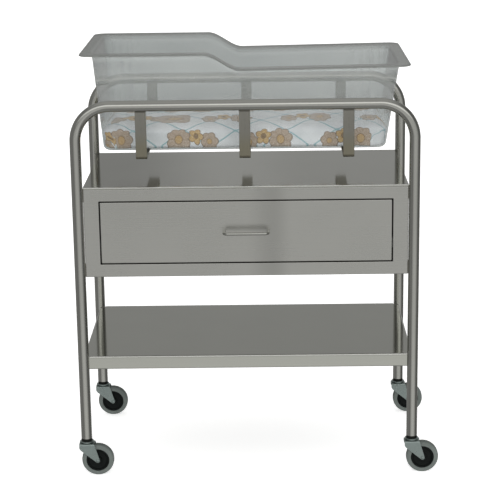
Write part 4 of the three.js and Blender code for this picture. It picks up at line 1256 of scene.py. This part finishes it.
def within_tub(places):
    """Keeps the pad in the tub: a point past the leaning walls, corners or fillet goes back to them.

    The distance past a rounded rectangle is the length of what is left after taking its straight part away,
    less the corner's radius; the fillet draws the rectangle in near the floor.
    """
    local = places - TUB_MIDDLE
    local[:, 2] = np.maximum(local[:, 2], PAD_BOTTOM_Z)
    rise = local[:, 2] - TUB_FLOOR_Z
    fillet = TUB_FILLET - TUB_WALL
    near_floor = np.clip((fillet + TUB_WALL - rise) / fillet, 0, 1)
    inset = TUB_WALL + PAD_GAP + fillet * (1 - np.sqrt(1 - near_floor ** 2))
    low = inset - TUB_FLOOR_X - HEAD_DRAFT * rise / HEAD_WALL
    high = TUB_FLOOR_X + FOOT_DRAFT * rise / FOOT_WALL - inset
    half = np.stack([(high - low) / 2, TUB_FLOOR_Y + SIDE_DRAFT * rise / HEAD_WALL - inset], axis=1)
    centre = np.stack([(high + low) / 2, 0 * high], axis=1)
    corner = (TUB_CORNER - inset)[:, None]
    away = local[:, :2] - centre
    past = np.maximum(np.abs(away) - (half - corner), 0)
    length = np.maximum(np.linalg.norm(past, axis=1, keepdims=True), 1e-9)
    back = past * np.maximum(1 - corner / length, 0)
    local[:, :2] -= np.sign(away) * back
    return local + TUB_MIDDLE


def unrolled(places):
    """The cover laid flat: X and Y on top, each running on down the sides by the drop below the top edge.

    The drop counts in full at the sides and eases out inwards, over a wider band low down.
    """
    local = places - TUB_MIDDLE
    drop = np.maximum(PAD_TOP_Z - local[:, 2], 0)
    low_down = smooth_step(drop, 0.010, 0.020)
    edge_start, edge_stop = 0.016, 0.006
    foot_start, foot_stop = 0.034, 0.022

    def share(along, half):
        by_edge = smooth_step(np.abs(along), half - edge_start, half - edge_stop)
        by_foot = smooth_step(np.abs(along), half - foot_start, half - foot_stop) * low_down
        return np.maximum(by_edge, by_foot) * np.sign(along)

    to_end, to_side = share(local[:, 0], PAD_X), share(local[:, 1], PAD_Y)
    return np.stack([local[:, 0] + to_end * drop, local[:, 1] + to_side * drop], axis=1)


def cluster_cell(tree, x, y):
    """Place about the middle of a cluster's cell, every other row half a cell on, mirrored by chance.

    The third number is an angle drawn for the cell.
    """
    (pitch_x, pitch_y), (offset_x, offset_y) = CLUSTER_PITCH, CLUSTER_OFFSET
    row = (y + offset_y) * (1 / pitch_y)
    cell_y = row.step("FLOOR")
    column = (x + offset_x) * (1 / pitch_x) + cell_y * 0.5
    cell_x = column.step("FLOOR")
    cell = tree.nodes.new("ShaderNodeCombineXYZ")
    tree.links.new(cell_x.socket, cell.inputs["X"])
    tree.links.new(cell_y.socket, cell.inputs["Y"])
    cell.inputs["Z"].default_value = CLUSTER_SEED
    chance = tree.nodes.new("ShaderNodeTexWhiteNoise")
    tree.links.new(cell.outputs[0], chance.inputs["Vector"])
    drawn = tree.nodes.new("ShaderNodeSeparateColor")
    tree.links.new(chance.outputs["Color"], drawn.inputs[0])
    turn = Field(tree, drawn.outputs[0]) * (2 * math.pi)
    side = Field(tree, drawn.outputs[1]).ramp(0.49, 0.51, -1.0, 1.0)
    return (column - cell_x - 0.5) * pitch_x * side, (row - cell_y - 0.5) * pitch_y, turn


def blossom(cell, at_x, at_y, size, petals, depth, heart_size):
    """Fill, outline and heart of a flower: a circle scalloped by the cosine of half the petals' angle."""
    local_x, local_y, turn = cell
    local_x, local_y = local_x - at_x, local_y - at_y
    radius = (local_x * local_x + local_y * local_y).step("SQRT")
    angle = local_y.step("ARCTAN2", local_x) + turn
    scallop = (angle * (petals / 2)).step("COSINE").step("ABSOLUTE")
    gap = radius - (scallop * depth + (1 - depth)) * size
    reach = radius * (1 / size)
    between = scallop.ramp(0.03, 0.16, 1.0, 0.0) * reach.ramp(heart_size, heart_size + 0.08)
    round_heart = (reach - heart_size).step("ABSOLUTE").ramp(0.02, 0.07, 1.0, 0.0)
    fill = gap.ramp(-0.0006, 0.0006, 1.0, 0.0)
    inner = between.step("MAXIMUM", round_heart) * fill * 0.8
    outline = gap.step("ABSOLUTE").ramp(0.0005, 0.0017, 1.0, 0.0).step("MAXIMUM", inner)
    heart = reach.ramp(heart_size - 0.02, heart_size + 0.02, 1.0, 0.0)
    return fill, outline, heart


def lattice(x, y):
    """Thin lines on a diamond lattice, dotted where they cross.

    A line lies where the sum or the difference of the places across and up, in cells, is half past a whole.
    """
    start_x, start_y = LATTICE_START
    across = (x - start_x) * (1 / LATTICE_X)
    up = (y - start_y) * (1 / LATTICE_Y) + 0.5
    rising, falling = ((way.step("FRACT") - 0.5).step("ABSOLUTE") for way in (across + up, across - up))
    lines = rising.step("MINIMUM", falling).ramp(0.012, 0.034, 1.0, 0.0)
    dots = rising.step("MAXIMUM", falling).ramp(0.030, 0.085, 1.0, 0.0)
    return lines.step("MAXIMUM", dots)


def printed_cover():
    """Cover cloth with a lattice of thin lines and scattered clusters of three blossoms, in a plain weave.

    The print wanders a little on the flat layout, as cloth does that is pulled over a pad.
    """
    material, tree, shader = new_finish("printed_cover", Roughness=0.62, Sheen_Weight=0.15)
    layout = tree.nodes.new("ShaderNodeUVMap")
    layout.uv_map = "cover"
    flat = layout.outputs["UV"]
    wander = tree.nodes.new("ShaderNodeTexNoise")
    wander.inputs["Scale"].default_value = 14.0
    tree.links.new(flat, wander.inputs["Vector"])
    shift = tree.nodes.new("ShaderNodeVectorMath")
    shift.operation = "MULTIPLY_ADD"
    shift.inputs[1].default_value = (0.008, 0.008, 0.0)
    tree.links.new(wander.outputs["Color"], shift.inputs[0])
    tree.links.new(flat, shift.inputs[2])
    x, y, _ = coordinates(tree, shift.outputs["Vector"])

    soft = cloud(tree, flat, 22.0, 4.0)
    ground = blended(tree, soft.ramp(*CLOUD_RANGE), (0.595, 0.625, 0.64), (0.685, 0.71, 0.72))
    colour = blended(tree, lattice(x, y) * 0.72, ground, TEAL)
    mottle = cloud(tree, flat, 260.0, 3.0).ramp(0.38, 0.62)
    warm, bright = blended(tree, mottle, TAN, PALE_TAN), blended(tree, mottle, OCHRE, HONEY)
    cell = cluster_cell(tree, x, y)
    for (fill, outline, heart), paint, core in (
        (blossom(cell, *SMALL_BLOSSOM), warm, OCHRE),
        (blossom(cell, *LARGE_BLOSSOM), warm, OCHRE),
        (blossom(cell, *BRIGHT_BLOSSOM), bright, BROWN),
    ):
        colour = blended(tree, fill, colour, paint)
        colour = blended(tree, heart * 0.8, colour, core)
        colour = blended(tree, outline * 0.75, colour, BROWN)
    tree.links.new(colour, shader.inputs["Base Color"])
    threads = (x * THREADS).step("SINE") * (y * THREADS).step("SINE")
    roughen(tree, shader, threads, 0.10, THREAD_DEPTH)
    return material


def make_mattress():
    """The pad, swollen and settled in the tub, with its cover's flat layout kept as its UV map."""
    pad = pad_form()
    in_voxels(pad, PAD_VOXEL)
    places = vertex_places(pad.data)
    places = swell(pad, PAD_PRESSURE, PAD_SWELL)
    places = within_tub(puckered(places))
    pad.data.vertices.foreach_set("co", places.astype(np.float32).ravel())
    smooth = pad.modifiers.new("smooth", "SUBSURF")
    smooth.levels = smooth.render_levels = 1
    corners = np.empty(len(pad.data.loops), np.int32)
    pad.data.loops.foreach_get("vertex_index", corners)
    cover = pad.data.uv_layers.new(name="cover")
    cover.data.foreach_set("uv", unrolled(places)[corners].astype(np.float32).ravel())
    pad.data.shade_smooth()
    dress(pad, printed_cover(), "mattress", "mattress_cover", "mattress")


make_mattress()


# Stage, light and camera

FLOOR_RINGS = (0.05, 2.0, 8.0, 40.0)
FLOOR_SIDES = 64

# Camera fitted to the photograph: yaw, pitch and roll in degrees, its place from the trolley's middle,
# and its focal length in frame widths
CAMERA_TURN = (-0.61, 14.59, 0.78)
CAMERA_PLACE = (0.0476, -3.9037, 1.5114)
FOCAL_LENGTH = 1653.0 / 500
SENSOR = 36.0


def make_floor():
    """Plain pale floor, a flat disc of rings, left out of what the steel mirrors.

    Seen through clear plastic it is a grey room, told by how many clear surfaces a ray has passed: darker
    behind one wall, lighter far behind both, and lighter to the foot.
    """
    spokes = circle(1.0, FLOOR_SIDES)
    grid = axes_to(np.array(FLOOR_RINGS)[:, None, None] * spokes[None], 0.0, 2)
    rings = grid_faces(len(FLOOR_RINGS), FLOOR_SIDES)[:, ::-1]
    mesh = bpy.data.meshes.new("floor")
    mesh.from_pydata(grid.reshape(-1, 3).tolist(), [], rings.tolist() + [list(range(FLOOR_SIDES))])
    floor = bpy.data.objects.new("floor", mesh)
    bpy.context.scene.collection.objects.link(floor)
    material, tree, shader = new_finish(
        "floor_paint", Roughness=0.9, Specular_IOR_Level=0.1, Emission_Color=(1.0, 1.0, 1.0, 1.0),
    )
    passed = Field(tree, tree.nodes.new("ShaderNodeLightPath").outputs["Transparent Depth"])
    behind_plastic = passed.step("MINIMUM", 1.0)
    x, y, _ = coordinates(tree, place_vector(tree))
    behind_both = passed.ramp(2.0, 4.0) * y.ramp(5.2, 6.4, 0.25, 1.0)
    to_foot = x.ramp(-0.6, 0.6)
    near = blended(tree, to_foot, (0.37, 0.40, 0.395), (0.46, 0.49, 0.485))
    far = blended(tree, to_foot, (0.49, 0.525, 0.515), (0.575, 0.61, 0.60))
    room = blended(tree, behind_both, near, far)
    paint = blended(tree, behind_plastic, (0.93, 0.93, 0.93), room)
    tree.links.new(paint, shader.inputs["Base Color"])
    glow = behind_plastic.ramp(0.0, 1.0, 0.55, 0.03, smooth=False)
    tree.links.new(glow.socket, shader.inputs["Emission Strength"])
    mesh.materials.append(material)
    floor.visible_glossy = False


def placed(directions, place):
    """Matrix of an object whose X, Y and Z axes point in three directions, at a place."""
    turn = np.eye(4)
    turn[:3, :3] = np.stack(directions, axis=1)
    turn[:3, 3] = place
    return Matrix(turn.tolist())


def hang_lamp(lamp, place, target):
    """Puts a lamp at a place, facing a target, unseen in mirrors."""
    holder = bpy.data.objects.new(lamp.name, lamp)
    bpy.context.scene.collection.objects.link(holder)
    place, target = np.asarray(place, float), np.asarray(target, float)
    back = (place - target) / np.linalg.norm(place - target)
    side = np.cross((0.1, 1, 0), back)
    side /= np.linalg.norm(side)
    holder.matrix_world = placed([side, np.cross(back, side), back], place)
    holder.visible_glossy = False
    holder.visible_camera = False


def make_sky(strength, spread):
    """Wide soft light from above, even over the whole floor."""
    lamp = bpy.data.lights.new("overhead", "SUN")
    lamp.energy = strength
    lamp.angle = math.radians(spread)
    hang_lamp(lamp, (0.0, -1.2, 4.0), (0.0, 0.0, 0.0))


def make_panel(name, place, target, size, power):
    """Soft rectangular lamp."""
    lamp = bpy.data.lights.new(name, "AREA")
    lamp.shape = "RECTANGLE"
    lamp.size, lamp.size_y = size
    lamp.energy = power
    hang_lamp(lamp, place, target)


def make_room():
    """Room that the steel mirrors, by direction: grey, lighter behind and overhead, brightest high in front.

    Straight to the camera it is white. A darker and a lighter strip low behind show in the deck.
    """
    world = bpy.data.worlds.new("room")
    world.use_nodes = True
    bpy.context.scene.world = world
    tree = world.node_tree
    x, y, z = coordinates(tree, tree.nodes.new("ShaderNodeTexCoord").outputs["Generated"])
    front = (x * 0.22 - y * 0.97).ramp(0.40, 0.98)
    low_front = z.ramp(-0.38, -0.26, 1.6, 1.0) * z.ramp(-0.52, -0.40, 0.30, 1.0)
    strip = x.ramp(-0.085, -0.025, 0.62, 1.10) * x.ramp(-0.018, 0.025, 1.0, 0.84)
    behind = y.ramp(0.3, 0.95) * ((strip - 1.0) * z.ramp(0.22, 0.27, 1.0, 0.0) + 1.0)
    above = z.ramp(0.60, 0.98)
    below = z.ramp(-0.95, -0.50, 1.0, 0.0)
    left = x.ramp(-0.95, -0.50, 1.0, 0.0)
    high_front = z.ramp(0.14, 0.34) * z.ramp(0.58, 0.68, 1.0, 0.0) * y.ramp(-0.75, -0.40, 1.0, 0.0)
    level = front * low_front * 0.39 + behind * 0.215 + high_front * 0.70
    level = level + above * 0.30 + below * 0.15 + left * 0.10 + 0.13
    seen = Field(tree, tree.nodes.new("ShaderNodeLightPath").outputs["Is Camera Ray"])
    level = level * seen.ramp(0.0, 1.0, 1.0, 0.0, smooth=False) + seen * 1.05
    shader = tree.nodes["Background"]
    shader.inputs["Color"].default_value = (1.0, 1.0, 0.985, 1.0)
    tree.links.new(level.socket, shader.inputs["Strength"])


def make_camera():
    """Camera at the photograph's place: its right, down and forward directions from yaw, pitch and roll."""
    yaw, pitch, roll = np.radians(CAMERA_TURN)
    forward = np.array([np.sin(yaw) * np.cos(pitch), np.cos(yaw) * np.cos(pitch), -np.sin(pitch)])
    level = np.array([np.cos(yaw), -np.sin(yaw), 0.0])
    under = np.cross(forward, level)
    right = np.cos(roll) * level + np.sin(roll) * under
    down = -np.sin(roll) * level + np.cos(roll) * under
    data = bpy.data.cameras.new("camera")
    data.sensor_width = SENSOR
    data.lens = FOCAL_LENGTH * SENSOR
    camera = bpy.data.objects.new("camera", data)
    camera.matrix_world = placed([right, -down, -forward], MIDDLE + CAMERA_PLACE)
    bpy.context.scene.collection.objects.link(camera)
    bpy.context.scene.camera = camera


make_floor()
make_sky(strength=1.4, spread=120)
make_panel("front_fill", place=(0.2, -3.6, 1.6), target=(0.0, 0.0, 0.7), size=(3.6, 2.0), power=45.0)
# The deck's card is a weak lamp that stands for the light its steel throws back up
make_panel(
    "deck_card", place=(0.0, 0.0, DECK_Z + 0.004), target=(0.0, 0.0, 2.0), size=(0.62, 0.34), power=0.5,
)
make_room()
make_camera()
bpy.context.scene.view_settings.view_transform = "Standard"
